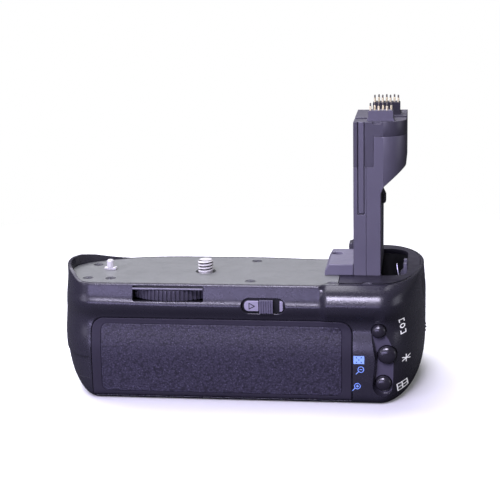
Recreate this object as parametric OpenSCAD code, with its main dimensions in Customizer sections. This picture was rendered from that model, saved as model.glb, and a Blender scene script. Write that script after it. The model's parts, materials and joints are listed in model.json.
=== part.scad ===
// Camera battery grip: a housing with a pull-out cell magazine, a knurled attachment dial that
// drives the camera screw, and a contact post that goes into the camera's battery compartment.
// X runs along the grip, Y from the back (thumb side) to the front (finger side), Z is up.

/* [Housing] */
// Overall width along X
body_w = 149.2; // [144:0.2:156]
// Overall depth along Y
body_d = 75; // [72:0.5:79]
// Height of the top plate above the ground
plate_z = 48; // [46:0.5:52]
// Wall thickness of the two housing shells
wall = 2.2; // [1.8:0.1:2.6]
// Thickness of the top plates
plate_t = 2; // [1.6:0.1:2.6]
// Depth of the finger groove along the back
waist = 2.7; // [1.5:0.1:3.4]
// How far the thumb rest stands out from the back
rest_out = 1.8; // [1:0.1:2.4]
// Height of the horn at the left end above the plate
horn_h = 4.2; // [3:0.2:5.5]

/* [Contact post] */
// From the right end to the post's left side
post_in = 28.8; // [27.6:0.2:29.6]
// Back face of the post
post_y = -16.1; // [-17:0.1:-15]
// Thickness of the post below its head
post_t = 10.8; // [10:0.2:12]
// Width of the head
head_w = 20.6; // [19:0.2:21.4]
// Depth of the post along Y
post_d = 35.7; // [34:0.1:37.5]
// Height of the head above the plate
post_h = 62; // [58:0.5:66]
// Height of the head's sloping underside above the plate
head_z = 34.8; // [31:0.2:38]
// Corner radius at the head's back right edge
head_r = 8.8; // [6:0.2:9.4]
// Height of a connector block
block_h = 4.1; // [3:0.1:5]
// Length of a contact pin above its block
pin_l = 2.9; // [2:0.1:3.6]

/* [Attachment drive] */
// Left-right place of the camera screw
screw_x = -15; // [-17:0.5:-13]
// Front-back place of the camera screw
screw_y = -12; // [-13:0.1:-11.4]
// Radius of the camera screw
screw_r = 3.175; // [2.9:0.005:3.4]
// Length of the camera screw above the plate
screw_l = 5; // [4:0.1:6]
// Gear module of the dial's inner teeth and the pinion
gear_m = 0.8; // [0.78:0.01:0.82]
// Rim of the dial outside the pitch circle of its inner teeth
dial_t = 3.6; // [3.2:0.1:3.8]
// Height of the dial's rim
dial_h = 4.3; // [3.8:0.1:4.4]

/* [Cell magazine] */
// Radius of a round cell's channel
cell_r = 7.4; // [7.3:0.05:7.6]
// From the left end to the magazine cover
door_in_left = 15.8; // [14.6:0.2:16.6]
// From the magazine cover to the right end
door_in_right = 28.5; // [27.8:0.1:29]
// Height of the magazine cover's top edge
door_z = 33.6; // [33:0.1:34]

/* [Buttons] */
// Diameter of the upper thumb button
upper_d = 5.5; // [5:0.1:6]
// Diameter of the middle thumb button
middle_d = 7.3; // [6.6:0.1:7.8]
// Diameter of the lower thumb button
lower_d = 6.3; // [5.6:0.1:6.8]
// Diameter of the shutter button
shutter_d = 11; // [10:0.2:12]

/* [Hidden] */
$fn = 48;
eps = 0.01;
gap = 0.3;       // running gap between pieces that move past each other
seat = 0.05;     // gap between pieces that are fastened together
half_w = body_w / 2;
half_d = body_d / 2;
post_x = half_w - post_in;
door_x0 = -half_w + door_in_left;
door_x1 = half_w - door_in_right;
door_w = door_x1 - door_x0;

function ease(t) = let (c = min(max(t, 0), 1)) c * c * (3 - 2 * c);
function mix(a, b, t) = a + (b - a) * t;
// How far a rounded bottom edge of height rz and reach rxy lies inside the wall at height z
function bottom_round(z, rz, rxy) = z < rz ? rxy * (1 - sqrt(max(0, 1 - pow((rz - z) / rz, 2)))) : 0;

// Plan outline of the housing: the ends are quarter ellipses about these centres
end_cx = half_w - 17.6;
left_far_cx = -half_w + 49.6;
left_low_cx = -half_w + 20.6;
right_cy = 9;
left_cy = -9;
ridge_z = plate_z - 6.5;
waist_z = plate_z - 15;
waist_half = 4.5;
rest_x = half_w - 41.6;
rest_ramp = 3.6;
rest_ridge_z = plate_z - 5;
back_reach = half_d - rest_out + 0.12;

// Depth of the magazine's tray and bay
tray_wall = 0.8;
tray_y0 = -back_reach + wall + 0.1;
cell_pitch = 2 * cell_r + 0.5;
tray_y1 = tray_y0 + 2 * tray_wall + 3 * cell_pitch;
bay_t = 1.2;
bay_y1 = tray_y1 + 2 + bay_t;

function rest_step(x, z) = ease((x - rest_x) / rest_ramp)
    * (rest_out * ease((z - plate_z + 19) / 9) - 3.2 * pow(max(z - rest_ridge_z, 0) / 5, 1.8));
function back_y(x, z) = -(back_reach
    - waist * exp(-pow((z - waist_z) / waist_half, 2))
    - 2.7 * pow(max(z - ridge_z, 0) / 6.5, 1.6)
    - bottom_round(z, 4, 4)
    + rest_step(x, z));
grip_low_y = half_d;
bay_room = 4.72;         // between the magazine's bay and the front wall
camera_front_y = half_d - 24.9;
function front_top_y(x) = mix(camera_front_y, camera_front_y - 2.3, ease(x / rest_x))
    + (half_d - 0.5 - camera_front_y + 2.3) * ease((x - rest_x) / 22);
function front_low_y(x) = mix(grip_low_y, bay_y1 + wall + bay_room, ease((end_cx - x) / (end_cx - left_far_cx) * 0.8));
function front_y(x, z) = mix(front_low_y(x), front_top_y(x), ease((z - plate_z + 18) / 16))
    - bottom_round(z, 12, 9);
function right_x(z) = half_w - 0.8 * ease((z - 36) / 12) - bottom_round(z, 22, 12);
function left_x(z) = -half_w + 2.3 * pow(max(z - 25, 0) / 27, 1.2) + bottom_round(z, 22, 12);

quarter = [for (i = [0 : 9]) 90 * i / 9];
back_xs = concat([for (i = [0 : 5]) mix(-end_cx, rest_x - 0.5, i / 5)],
    [for (i = [1 : 5]) rest_x - 0.5 + (rest_ramp + 1) * i / 5], [end_cx - 11, end_cx - 2]);
// The front left corner is fuller low down, round the magazine, than at the top plate
function far_cx(z) = mix(left_low_cx, left_far_cx, ease((z - 24) / 16));

// One level of the housing's outer form, drawn in by inset
function outline(z, inset = 0) = let (
        xr = right_x(z) - inset - end_cx, xl = -end_cx - left_x(z) - inset,
        xf = far_cx(z), xlf = xf - left_x(z) - inset,
        yb = back_y(end_cx, z) + inset, yl = back_y(-end_cx, z) + inset,
        yr = front_y(end_cx, z) - inset, yf = front_y(xf, z) - inset)
    concat(
        [for (x = back_xs) [x, back_y(x, z) + inset]],
        [for (a = quarter) [end_cx + xr * sin(a), right_cy + (yb - right_cy) * cos(a)]],
        [for (i = [8 : -1 : 1]) [end_cx + xr * sin(quarter[i]), right_cy + (yr - right_cy) * cos(quarter[i])]],
        [for (i = [0 : 13]) let (x = mix(end_cx, xf, i / 13)) [x, front_y(x, z) - inset]],
        [for (i = [1 : 9]) [xf - xlf * sin(quarter[i]), left_cy + (yf - left_cy) * cos(quarter[i])]],
        [for (i = [8 : -1 : 1]) [-end_cx - xl * sin(quarter[i]), left_cy + (yl - left_cy) * cos(quarter[i])]]);

// A closed skin through rings of points. The top is flat, or a fan to the point top
module loft(rings, top = undef) {
    n = len(rings[0]);
    m = len(rings);
    last = (m - 1) * n;
    polyhedron(
        points = concat([for (r = rings) each r], is_undef(top) ? [] : [top]),
        faces = concat([[for (i = [0 : n - 1]) i]],
            is_undef(top) ? [[for (i = [n - 1 : -1 : 0]) last + i]]
                : [for (i = [0 : n - 1]) [last + i, m * n, last + (i + 1) % n]],
            [for (j = [0 : m - 2]) for (i = [0 : n - 1]) let (k = (i + 1) % n)
                each [[j * n + i, (j + 1) * n + i, (j + 1) * n + k], [j * n + i, (j + 1) * n + k, j * n + k]]]),
        convexity = 6);
}
function lift(points, z) = [for (p = points) [p[0], p[1], z]];
low_zs = concat([0, 0.5, 1.5, 3, 5, 8, 12, 17, 22, 26], [for (i = [1 : 8]) mix(26, ridge_z, i / 8)]);
// Height of the horn above the plate, by depth
function horn_rise(p) = p[0] > -half_w + 24.6 ? 0 : horn_h * lookup(p[1],
    [[-31, 0], [-29.5, 0.2], [-27, 0.6], [-24, 0.85], [-20, 0.96], [-14, 1], [-2, 0.97], [2, 0.75], [6, 0.3], [9, 0]]);
horn_rises = [for (p = outline(plate_z)) horn_rise(p)];
function top_ring(f, inset) = [for (i = [0 : len(horn_rises) - 1])
    let (z = mix(ridge_z, plate_z + horn_rises[i], f), q = outline(min(z, plate_z), inset)[i]) [q[0], q[1], z]];
fan_x = post_x - 0.8;              // a point in line of sight of the whole outline
module skin(inset = 0) {
    loft(concat([for (z = low_zs) lift(outline(z, inset), z)], [for (k = [1 : 5]) top_ring(k / 5, inset)]),
        [fan_x, 0, plate_z]);
}
// The hollow inside the walls, up to the underside of the top plates
module inner_skin() {
    loft([for (z = concat([wall, 3, 5, 8, 12, 17, 22, 26], [for (i = [1 : 8]) mix(26, ridge_z, i / 8)], [plate_z - plate_t + 0.2]))
        lift(outline(z, wall), z)]);
}

// Heights of what lies inside, from the ground up
base_t = 1.2;            // base plate
ledge = 1.5;             // width of the ledge that the base plate lies against
base_inset = 3;
rim = 1.4;               // width of the shells' rim round the top plates
rim_z = plate_z - plate_t;
split_y = camera_front_y - 7.6;  // plane between the back and the front shell
part_x = post_x - 4.8;             // line between the two top plates
part_lean = 0.03;        // sideways lean of that line per mm of depth

// Magazine
door_z0 = 1.9;
door_r = 5;
door_gap = 0.25;
rubber_in = 4.7;
rubber_t = 0.9;
tray_w = door_w - 0.5;
tray_x0 = door_x0 + 0.25;
bay_z0 = 7.4;
tray_z0 = bay_z0 + bay_t + gap;
cell_z = tray_z0 + tray_wall + cell_r;
tray_z1 = cell_z + 4.6;
bay_z1 = cell_z + cell_r + 1.2 + bay_t;
function cell_y(i) = tray_y0 + tray_wall + cell_pitch * (i + 0.5);

// Attachment drive
ring_n = 42;
pinion_n = 12;
drive_c = gear_m * (ring_n - pinion_n) / 2;
drive_a = 13;            // direction from the dial's axis to the screw's
dial_x = screw_x - drive_c * cos(drive_a);
dial_y = screw_y - drive_c * sin(drive_a);
ring_r = gear_m * ring_n / 2;
dial_r = ring_r + dial_t;
dial_z1 = rim_z - gap;
dial_z0 = dial_z1 - dial_h;
dial_floor = 1;
knurl_n = 74;
stud_r = 2.5;
fit = 0.06;              // radial running fit of a shaft in its bore
window_x0 = -41.2;
window_x1 = -12.7;
window_z0 = dial_z0 - 0.2;
window_z1 = plate_z - 0.7;

// Release slide
slot_x = 11.2;
slot_z = plate_z - 8.2;
slot_w = 17.4;
slot_h = 6.1;
knob_w = 5.4;
release_travel = 2.4;
slot_y = back_y(slot_x, slot_z);

// Thumb buttons, each [x, z, diameter]
thumb = [[half_w - 18, 30.3, upper_d], [half_w - 14.7, 20.7, middle_d], [half_w - 16.1, 8.9, lower_d]];
thumb_floor = 2.4;
thumb_y = -half_d + rest_out + thumb_floor - 0.3;
thumb_t = 1.5;
thumb_back = 3.6;        // from the recess floor's back to a button's flange, clear of the rounded wall
press = 0.9;

// The right end's front corner, where the finger controls are
function end_pt(t, z) = [end_cx + (right_x(z) - end_cx) * cos(t), right_cy + (front_y(end_cx, z) - right_cy) * sin(t), z];
function end_dir(t, z) = atan2(sin(t) / (front_y(end_cx, z) - right_cy), cos(t) / (right_x(z) - end_cx));
module at_end(t, z) {
    translate(end_pt(t, z)) rotate([0, 0, end_dir(t, z)]) rotate([0, 90, 0]) children();
}
shutter_t = 62;
shutter_z = 17;
wheel_t = 20;
wheel_z = 17;
wheel_r = 9;
wheel_w = 5.6;
wheel_sink = wheel_r - 1.3;
collar_w = 2.6;          // width of the shutter button's collar
function_t = 84;
function_z = 28.5;
switch_x = half_w - 28.1;
switch_z = 12;

// Post
post_x1 = post_x + post_t;
post_y1 = post_y + post_d;
post_top = plate_z + post_h;
head_x1 = post_x + head_w;
seam_x = post_x + 5.1;
cap_left_z = post_top - 18;
cap_right_z = post_top - 5.8;
cap_step_x = post_x + 8;
post_wall = 1.5;
slot_post_x0 = post_x + 1.6;
slot_post_x1 = post_x + 4.6;
slot_post_z = plate_z + 25;
slot_post_d = 1.3;

// Screws in the top plates, each [x, y]
top_screw_at = [[13.2 - half_w, 12.6 - half_d], [22.6 - half_w, 12.5 - half_d], [12.4 - half_w, -3.6], [5.4, 10.8 - half_d],
    [4, camera_front_y - 7], [post_x - 7.6, 9.5 - half_d], [post_x + 6.1, 10 - half_d]];
// where each screw's boss joins the wall
top_screw_wall = [[12.1 - half_w, 9 - half_d], [22.6 - half_w, 6.5 - half_d], [6.1 - half_w, -4], [5.4, 6.1 - half_d],
    [4, camera_front_y - 3], [post_x - 7.6, 5.9 - half_d], [post_x + 6.1, 5.5 - half_d]];
base_screw_at = [for (x = [door_x0 + 10.8, door_x1 - 3.1]) for (y = [13.5 - half_d, bay_y1 - 9.18]) [x, y]];
pin_x = 19.3 - half_w;
pin_y = -10.7;
socket_x = screw_x;
socket_y = screw_y;

// Storage well for the camera's compartment cover, right of the post
well_x0 = post_x1 + 0.6;
well_x1 = half_w - 7.6;
well_y0 = post_y + 0.6;
well_y1 = half_d - 8;
well_z0 = 30;
well_t = 1.2;

// Two solid bars along Y through a wall, as a rounded slot [x, z, width, height]
module round_slot(x, z, w, h, y0, y1) {
    hull() for (s = [-1, 1])
        translate([x + s * (w - h) / 2, y0, z]) rotate([-90, 0, 0]) cylinder(d = h, h = y1 - y0, $fn = 32);
}
// Door-shaped prism along Y, larger all round by grow
module door_shape(grow, z0, x_in = 0, r = door_r) {
    x0 = door_x0 + x_in - grow;
    x1 = door_x1 - x_in + grow;
    z1 = door_z - x_in * 0.4 + grow;
    translate([0, -8, 0]) rotate([90, 0, 0]) linear_extrude(40) hull() {
        translate([x0, z0 - grow]) square([x1 - x0, 1]);
        for (x = [x0 + r, x1 - r]) translate([x, z1 - r]) circle(r, $fn = 32);
    }
}
function rubber_cols(g) = columns(door_x0 + rubber_in, door_x1 - rubber_in, door_z0 + 1.9, door_z - 2.2, 2.6, 2.6, g, 5);
// A boss under a plate, joined to the wall beside it
module wall_boss(p, w, z0, z1) {
    hull() {
        translate([p[0], p[1], z0 + 4]) cylinder(r = 2.4, h = z1 - z0 - 4, $fn = 16);
        translate([w[0], w[1], z0]) cylinder(r = 1.4, h = z1 - z0, $fn = 16);
    }
}
module boss(x, y, z0, z1, r0, r1) {
    hull() {
        translate([x, y, z0]) cylinder(r = r0, h = eps, $fn = 16);
        translate([x, y, z1 - eps]) cylinder(r = r1, h = eps, $fn = 16);
    }
}
// Plan of the two top plates before they are parted
module plates_plan() polygon(outline(plate_z, rim + seat));
module left_of_line(shift = 0) {
    polygon([[-100, -60], [part_x + shift + 60 * part_lean - 2, -60], [part_x + shift - 60 * part_lean, 60], [-100, 60]]);
}

// The whole hollow housing, before it is parted at split_y
module hollow() {
    difference() {
        skin();
        inner_skin();
        translate([0, 0, rim_z]) linear_extrude(plate_t + horn_h + 3) polygon(outline(plate_z, rim));
        translate([0, 0, -1]) linear_extrude(1 + base_t) polygon(outline(0, base_inset));
        translate([0, 0, base_t - eps]) linear_extrude(wall) polygon(outline(0, base_inset + ledge));
    }
}
module behind() translate([-100, -60, -5]) cube([200, 60 + split_y, 90]);

module thumb_recess(grow = 0, deep = 0) {
    for (i = [0 : 1]) hull() for (b = [thumb[i], thumb[i + 1]])
        translate([b[0] + 0.4, thumb_y + deep, b[1] - 0.6]) rotate([90, 0, 0])
            cylinder(r1 = b[2] / 2 + 0.9 + grow, r2 = b[2] / 2 + 3.4 + grow, h = 7, $fn = 28);
}
module rear_housing() {
    color("#3d3a47") difference() {
        union() {
            intersection() {
                hollow();
                behind();
            }
            intersection() {
                skin(0.4);
                thumb_backing();
            }
            for (i = [0, 1, 2, 3, 5, 6]) wall_boss(top_screw_at[i], top_screw_wall[i], rim_z - 11, rim_z - seat);
            for (x = [door_x0 - 3.9, door_x1 + 4]) boss(x, 8.5 - half_d, wall - eps, 24, 2.2, 1.6);
        }
        door_shape(door_gap, door_z0);
        translate([window_x0, -half_d - 5, window_z0]) cube([window_x1 - window_x0, 16, window_z1 - window_z0]);
        round_slot(slot_x, slot_z, slot_w, slot_h, -half_d - 5, -half_d + 12);
        thumb_recess();
        for (b = thumb) translate([b[0], 0, b[1]]) rotate([90, 0, 0]) cylinder(d = b[2] + 2 * gap, h = 60, $fn = 32);
        end_controls_cut();
        trim_shape(seat, 1);
        for (p = top_screw_at) cylinder_at(p[0], p[1], rim_z - 6, plate_z + 5, 1);
    }
}
module thumb_backing() {
    hull() for (b = thumb) translate([b[0], -22, b[1]]) rotate([90, 0, 0])
        intersection() {
            cylinder(r = b[2] / 2 + 4.2, h = 30, $fn = 28);
            translate([-20, -20, -22 - thumb_y - thumb_t]) cube([40, 40, 30]);
        }
}
module end_controls_cut() {
    at_end(shutter_t, shutter_z) {
        translate([0, 0, -4 - seat]) cylinder(r = shutter_d / 2 + collar_w + seat, h = 9, $fn = 40);
        translate([0, 0, -7.5]) cylinder(r = shutter_d / 2 + 0.7 + gap, h = 9, $fn = 40);
    }
    at_end(function_t, function_z) translate([0, 0, -9]) cylinder(r = 3 + gap, h = 14, $fn = 28);
    at_end(wheel_t, wheel_z) translate([-7.4, -wheel_w / 2 - gap, -6]) cube([14.8, wheel_w + 2 * gap, 14]);
}
// Outer form of the right end at depth y and height z
function end_x(y, z) = let (reach = y < right_cy ? right_cy - back_y(end_cx, z) : front_y(end_cx, z) - right_cy)
    end_cx + (right_x(z) - end_cx) * sqrt(1 - pow((y - right_cy) / reach, 2));
trim_y0 = 30.5 - half_d;
trim_y1 = half_d - 16;
trim_t = 0.8;
module trim_shape(grow = 0, out = 0) {
    rotate([0, 0, 90]) sheet([for (i = [0 : 12]) [mix(trim_y0 - grow, trim_y1 + grow, i / 12), plate_z - 12 - grow, plate_z - 2.7 + grow]],
        4, function (y, z) -end_x(y, z) - out, function (y, z) -end_x(y, z) + trim_t + grow);
}
// A closed sheet between two surfaces y = ya and y = yb over columns of [x, z0, z1]
module sheet(cols, n, ya, yb) {
    m = len(cols);
    function pt(i, j, f) = let (z = mix(cols[i][1], cols[i][2], j / n)) [cols[i][0], f == 0 ? ya(cols[i][0], z) : yb(cols[i][0], z), z];
    k = m * (n + 1);
    polyhedron(
        points = concat([for (i = [0 : m - 1], j = [0 : n]) pt(i, j, 0)], [for (i = [0 : m - 1], j = [0 : n]) pt(i, j, 1)]),
        faces = concat(
            [for (i = [0 : m - 2], j = [0 : n - 1]) let (a = i * (n + 1) + j, b = a + n + 1) each
                [[a, a + 1, b + 1], [a, b + 1, b], [k + a, k + b + 1, k + a + 1], [k + a, k + b, k + b + 1]]],
            [for (i = [0 : m - 2]) let (a = i * (n + 1), b = a + n + 1) each
                [[a, b, k + b], [a, k + b, k + a], [a + n, k + b + n, b + n], [a + n, k + a + n, k + b + n]]],
            [for (j = [0 : n - 1]) let (b = (m - 1) * (n + 1) + j) each
                [[j, k + j, k + j + 1], [j, k + j + 1, j + 1], [b, k + b + 1, k + b], [b, b + 1, k + b + 1]]]),
        convexity = 6);
}
// Columns of a rounded rectangle x0..x1, z0..z1 with corner radii rb below and rt above, grown by g
function columns(x0, x1, z0, z1, rb, rt, g, n) = let (
        a = x0 - g, b = x1 + g,
        left = [for (i = [0 : 4]) a + rt * (1 - cos(22.5 * i))],
        mid = [for (i = [1 : n]) mix(a + rt, b - rt, i / (n + 1))],
        right = [for (i = [4 : -1 : 0]) b - rt * (1 - cos(22.5 * i))])
    [for (x = concat(left, mid, right)) let (e = min(x - a, b - x))
        [x, z0 - g + (e < rb ? rb - sqrt(max(0, rb * rb - pow(rb - e, 2))) : 0),
            z1 + g - (e < rt ? rt - sqrt(max(0, rt * rt - pow(rt - e, 2))) : 0)]];
front_grip_x0 = 56.6 - half_w;
front_grip_x1 = half_w - 36.6;
front_grip_z1 = plate_z - 18.5;
function front_grip_cols(g) = columns(front_grip_x0, front_grip_x1, 5.5, front_grip_z1, 6, 6, g, 7);
module front_housing() {
    color("#3a3743") difference() {
        union() {
            difference() {
                hollow();
                translate([0, seat, 0]) behind();
            }
            wall_boss(top_screw_at[4], top_screw_wall[4], rim_z - 11, rim_z - seat);
            for (x = [-4, 24]) wall_boss([x, front_y(x, 14) - 5.5], [x, front_y(x, 14) - 2.4], 13, 26);
            dial_ears();
            for (x = [34.6 - half_w, -12, half_w - 50.6]) wall_boss([x, split_y + 2.6], [x, camera_front_y - 2.8 - (x < -20 ? 2 : 0)], rim_z - 11, rim_z - seat);
        }
        front_pocket();
        end_controls_cut();
        at_end(wheel_t, wheel_z) translate([0, 0, -wheel_sink]) rotate([90, 0, 0]) translate([0, 0, -8])
            cylinder(r = 1.5 + seat, h = 16, $fn = 32);
        at_end(wheel_t, wheel_z) translate([0, 0, -wheel_sink]) rotate([90, 0, 0]) translate([0, 0, -wheel_w / 2 - gap])
            cylinder(r = wheel_r + gap, h = wheel_w + 2 * gap, $fn = 48);
        trim_shape(seat, 1);
        cylinder_at(top_screw_at[4][0], top_screw_at[4][1], rim_z - 6, plate_z + 5, 1);
        translate([switch_x, 0, switch_z]) rotate([-90, 0, 0]) cylinder(r = 5.2 + gap, h = 60, $fn = 32);
    }
}
// Two ears behind the shell that carry the control dial's axle
module dial_ears() {
    at_end(wheel_t, wheel_z) for (s = [-1, 1]) hull() {
        translate([-2.4, s * (wheel_w / 2 + 1.7) - 0.9, -wheel_sink - 2.4]) cube([4.8, 1.8, 4]);
        translate([-3.6, s * (wheel_w / 2 + 1.7) - 0.9, -2.6]) cube([7.2, 1.8, 1]);
    }
}
module front_pocket() {
    sheet(front_grip_cols(seat), 7, function (x, z) front_y(x, z) - rubber_t, function (x, z) front_y(x, z) + 2);
}
module front_grip_rubber() {
    color("#2c2a33") sheet(front_grip_cols(0), 7, function (x, z) front_y(x, z) - rubber_t + seat,
        function (x, z) front_y(x, z));
}
module end_trim() {
    color("#46434f") trim_shape(0);
}

// Top plates and what stands on them
module screw_holes(which) {
    for (i = which) translate([top_screw_at[i][0], top_screw_at[i][1], rim_z - 1]) {
        cylinder(r = 1.1, h = 6);
        translate([0, 0, plate_t + 1 - 0.9]) cylinder(r = 2.1, h = 3);
    }
}
module top_plate() {
    color("#8b8b93") difference() {
        translate([0, 0, rim_z]) linear_extrude(plate_t) intersection() {
            plates_plan();
            left_of_line();
        }
        screw_holes([0 : 5]);
        translate([screw_x, screw_y, rim_z - 1]) cylinder(r = screw_r + 1, h = 6);
        translate([pin_x, pin_y, rim_z - 1]) cylinder(r = 1.3 + seat, h = 6);
        translate([dial_x, dial_y, rim_z - 1]) cylinder(r = 1.2 + seat, h = 2);
    }
}
module well_plan(grow = 0) {
    offset(delta = grow) hull() {
        translate([well_x0, well_y0]) square([2, well_y1 - well_y0 - 6]);
        translate([well_x1 - 5, well_y0 + 5.5]) circle(5, $fn = 32);
        translate([well_x1 - 8, well_y1 - 8]) circle(8, $fn = 32);
        translate([well_x0 + 2, well_y1 - 6]) circle(2, $fn = 24);
    }
}
module post_base_plate() {
    color("#6d6b76") difference() {
        translate([0, 0, rim_z]) linear_extrude(plate_t) difference() {
            plates_plan();
            left_of_line(0.2);
            well_plan();
        }
        screw_holes([6]);
        for (y = [post_y + 6, post_y1 - 6]) translate([(post_x + post_x1) / 2, y, rim_z - 1])
            cylinder(r = 1.6 + seat, h = 6);
    }
}
module cover_well() {
    color("#17161b") difference() {
        translate([0, 0, well_z0]) linear_extrude(rim_z - seat - well_z0) well_plan(well_t);
        translate([0, 0, well_z0 + well_t]) linear_extrude(30) well_plan();
    }
}
module well_spring_clip() {
    y0 = well_y0 + 6;
    color("#c9c9ce") {
        translate([well_x0 + 3.4, y0, well_z0 + well_t]) linear_extrude(0.5) square([5, 9]);
        translate([well_x0 + 8.1, y0, well_z0 + well_t]) rotate([90, 0, 90]) linear_extrude(0.4)
            polygon([[0, 0], [9, 0], [7, 6], [5.6, 14.6], [4.4, 14.6], [3.4, 6]]);
    }
}
module cover_hooks() {
    color("#8a8894") for (y = [-2, 4.5]) translate([well_x1 - 3, y + 2.4, rim_z]) rotate([90, 0, 0]) linear_extrude(2.4)
        polygon([[0, -9], [2.95, -9], [2.95, 1.6], [1.9, 1.6], [1, -3], [0, -4.2]]);
}
module base_plate() {
    color("#34323b") difference() {
        linear_extrude(base_t) polygon(outline(0, base_inset + seat));
        translate([socket_x, socket_y, -1]) cylinder(r = 6 + seat, h = 5);
        for (p = base_screw_at) {
            cylinder_at(p[0], p[1], -1, 5, 1.2);
            cylinder_at(p[0], p[1], -1, 0.85, 2.2);
        }
    }
}
module tripod_socket() {
    color("#b9bac0") difference() {
        union() {
            cylinder_at(socket_x, socket_y, 0, base_t, 6);
            cylinder_at(socket_x, socket_y, base_t, base_t + 1, 8);
            cylinder_at(socket_x, socket_y, base_t, bay_z0 - seat, 5);
        }
        cylinder_at(socket_x, socket_y, -1, bay_z0 - 1.4, 3.175);
    }
}
module cylinder_at(x, y, z0, z1, r) translate([x, y, z0]) cylinder(r = r, h = z1 - z0);
// A countersunk cross-head screw, its head's top at z
module screw_at(x, y, z, l, r = 0.85, rh = 1.9) {
    translate([x, y, z]) difference() {
        union() {
            translate([0, 0, -0.7]) cylinder(r = rh, h = 0.7);
            translate([0, 0, -l]) cylinder(r = r, h = l);
        }
        for (a = [0, 90]) rotate([0, 0, a]) translate([-1.1, -0.2, -0.45]) cube([2.2, 0.4, 1]);
    }
}
module base_screws() {
    color("#77777e") for (p = base_screw_at) translate([p[0], p[1], 0.1]) mirror([0, 0, 1]) screw_at(0, 0, 0, 6, 1.1, 2.1);
}
module top_screws() {
    color("#8f9096") for (p = top_screw_at) screw_at(p[0], p[1], plate_z - 0.15, 6);
}
pad_x0 = post_x - 11.7;
pad_y1 = 10.4;
pad_h = 4.6;
pad_screw_at = [post_x - 7.5, 2.4];
module raised_pad() {
    x1 = post_x - seat;
    color("#7f7d88") difference() {
        translate([0, pad_y1, plate_z]) rotate([90, 0, 0]) linear_extrude(pad_y1 - post_y + 0.4)
            polygon([[pad_x0, 0], [x1, 0], [x1, pad_h], [pad_x0 + 1.8, pad_h], [pad_x0 + 0.2, pad_h - 2.6]]);
        cylinder_at(pad_screw_at[0], pad_screw_at[1], plate_z + pad_h - 1.75, plate_z + 20, 2.2);
        cylinder_at(pad_screw_at[0], pad_screw_at[1], plate_z - 1, plate_z + 20, 1.1);
    }
}
module pad_screw() {
    color("#8f9096") screw_at(pad_screw_at[0], pad_screw_at[1], plate_z + pad_h - 1, 3.6);
}

// Post
// Section of the head: flat to the left, one large round corner at the back right
module head_plan() {
    hull() {
        translate([post_x, post_y]) square([1, post_d]);
        translate([head_x1 - head_r, post_y + head_r]) circle(head_r);
        translate([head_x1 - 1, post_y1 - 2]) square([1, 2]);
    }
}
// Front elevation of the post with its sloping underside, as a prism along Y
module post_face() {
    translate([0, post_y1 + 1, 0]) rotate([90, 0, 0]) linear_extrude(post_d + 2)
        polygon([[post_x, plate_z], [post_x1, plate_z], [post_x1, plate_z + head_z - 1.4], [post_x1 + 1.2, plate_z + head_z + 1.4],
            [head_x1, plate_z + head_z + 9], [head_x1, post_top], [post_x, post_top]]);
}
module post_solid() {
    intersection() {
        translate([0, 0, plate_z]) linear_extrude(post_h) head_plan();
        post_face();
    }
}
module rail_slot(grow) {
    translate([slot_post_x0 - grow, post_y - 1, slot_post_z - grow])
        cube([slot_post_x1 - slot_post_x0 + 2 * grow, 1 + slot_post_d + grow, post_top - slot_post_z + 2]);
}
module cap_zone(shift) {
    translate([0, post_y1 + 2, 0]) rotate([90, 0, 0]) linear_extrude(post_d + 4)
        polygon([[post_x - 1, cap_left_z - shift], [cap_step_x + shift, cap_left_z - shift],
            [cap_step_x + shift, cap_right_z - shift], [head_x1 + 1, cap_right_z - shift],
            [head_x1 + 1, post_top + 1], [post_x - 1, post_top + 1]]);
}
module post_hollow() {
    translate([post_x + post_wall, post_y + post_wall + 1.4, plate_z - 1])
        cube([post_t - 2 * post_wall, post_d - 2 * post_wall - 1.4, post_h - 3]);
    translate([post_x + post_wall, post_y + head_r, plate_z + head_z + 8])
        cube([head_w - 2 * post_wall, post_d - head_r - post_wall, post_h - head_z - 11]);
}
module post_left_shell() {
    color("#57546a") difference() {
        intersection() {
            post_solid();
            translate([post_x - 1, post_y - 1, plate_z]) cube([seam_x - post_x + 1, post_d + 2, post_h]);
        }
        post_hollow();
        cap_zone(0);
        rail_slot(0);
    }
}
module latch_window() {
    translate([post_x1 - 4, post_y + 12, plate_z + 26]) cube([10, 5, 9]);
}
module post_right_shell() {
    color("#54516a") difference() {
        post_solid();
        translate([post_x - 1, post_y - 1, plate_z - 1]) cube([seam_x + seat - post_x + 1, post_d + 2, post_h + 2]);
        post_hollow();
        cap_zone(0);
        latch_window();
        // long recesses in the right side for the wires' cover strips
        translate([post_x1 - 0.6, post_y + 20, plate_z + 6]) cube([2, 9, 22]);
        translate([post_x1 - 0.6, post_y + 4, plate_z + 4]) cube([2, 3, 14]);
    }
}
module post_cap() {
    color("#5b5870") difference() {
        intersection() {
            post_solid();
            cap_zone(-seat);
        }
        post_hollow();
        rail_slot(0);
        translate([post_x - 1, post_y + 9, post_top - 1.2]) cube([6, 4, 2]);
        translate([head_x1 - 5, post_y + 13, post_top - 1.2]) cube([6, 4, 2]);
        translate([post_x + 7.6, post_y - 1, post_top - 0.8]) cube([3.4, 1.9, 2]);
    }
}
module post_guide_rail() {
    color("#4c4960") translate([slot_post_x0 + 0.45, post_y + 0.35, slot_post_z + 0.4])
        cube([slot_post_x1 - slot_post_x0 - 0.9, slot_post_d - 0.35 - seat, post_top - slot_post_z - 0.4]);
}
module post_latch() {
    color("#1b1a20") translate([0, post_y + 12 + gap, 0]) rotate([90, 0, 0]) mirror([0, 0, 1])
        linear_extrude(5 - 2 * gap) polygon([[post_x1 - 3.4, plate_z + 26 + gap], [post_x1 - 0.2, plate_z + 26 + gap],
            [post_x1 + 1.7, plate_z + 27.6], [post_x1 + 1.7, plate_z + 30.5], [post_x1 - 0.2, plate_z + 35 - gap],
            [post_x1 - 3.4, plate_z + 35 - gap]]);
}
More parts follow.
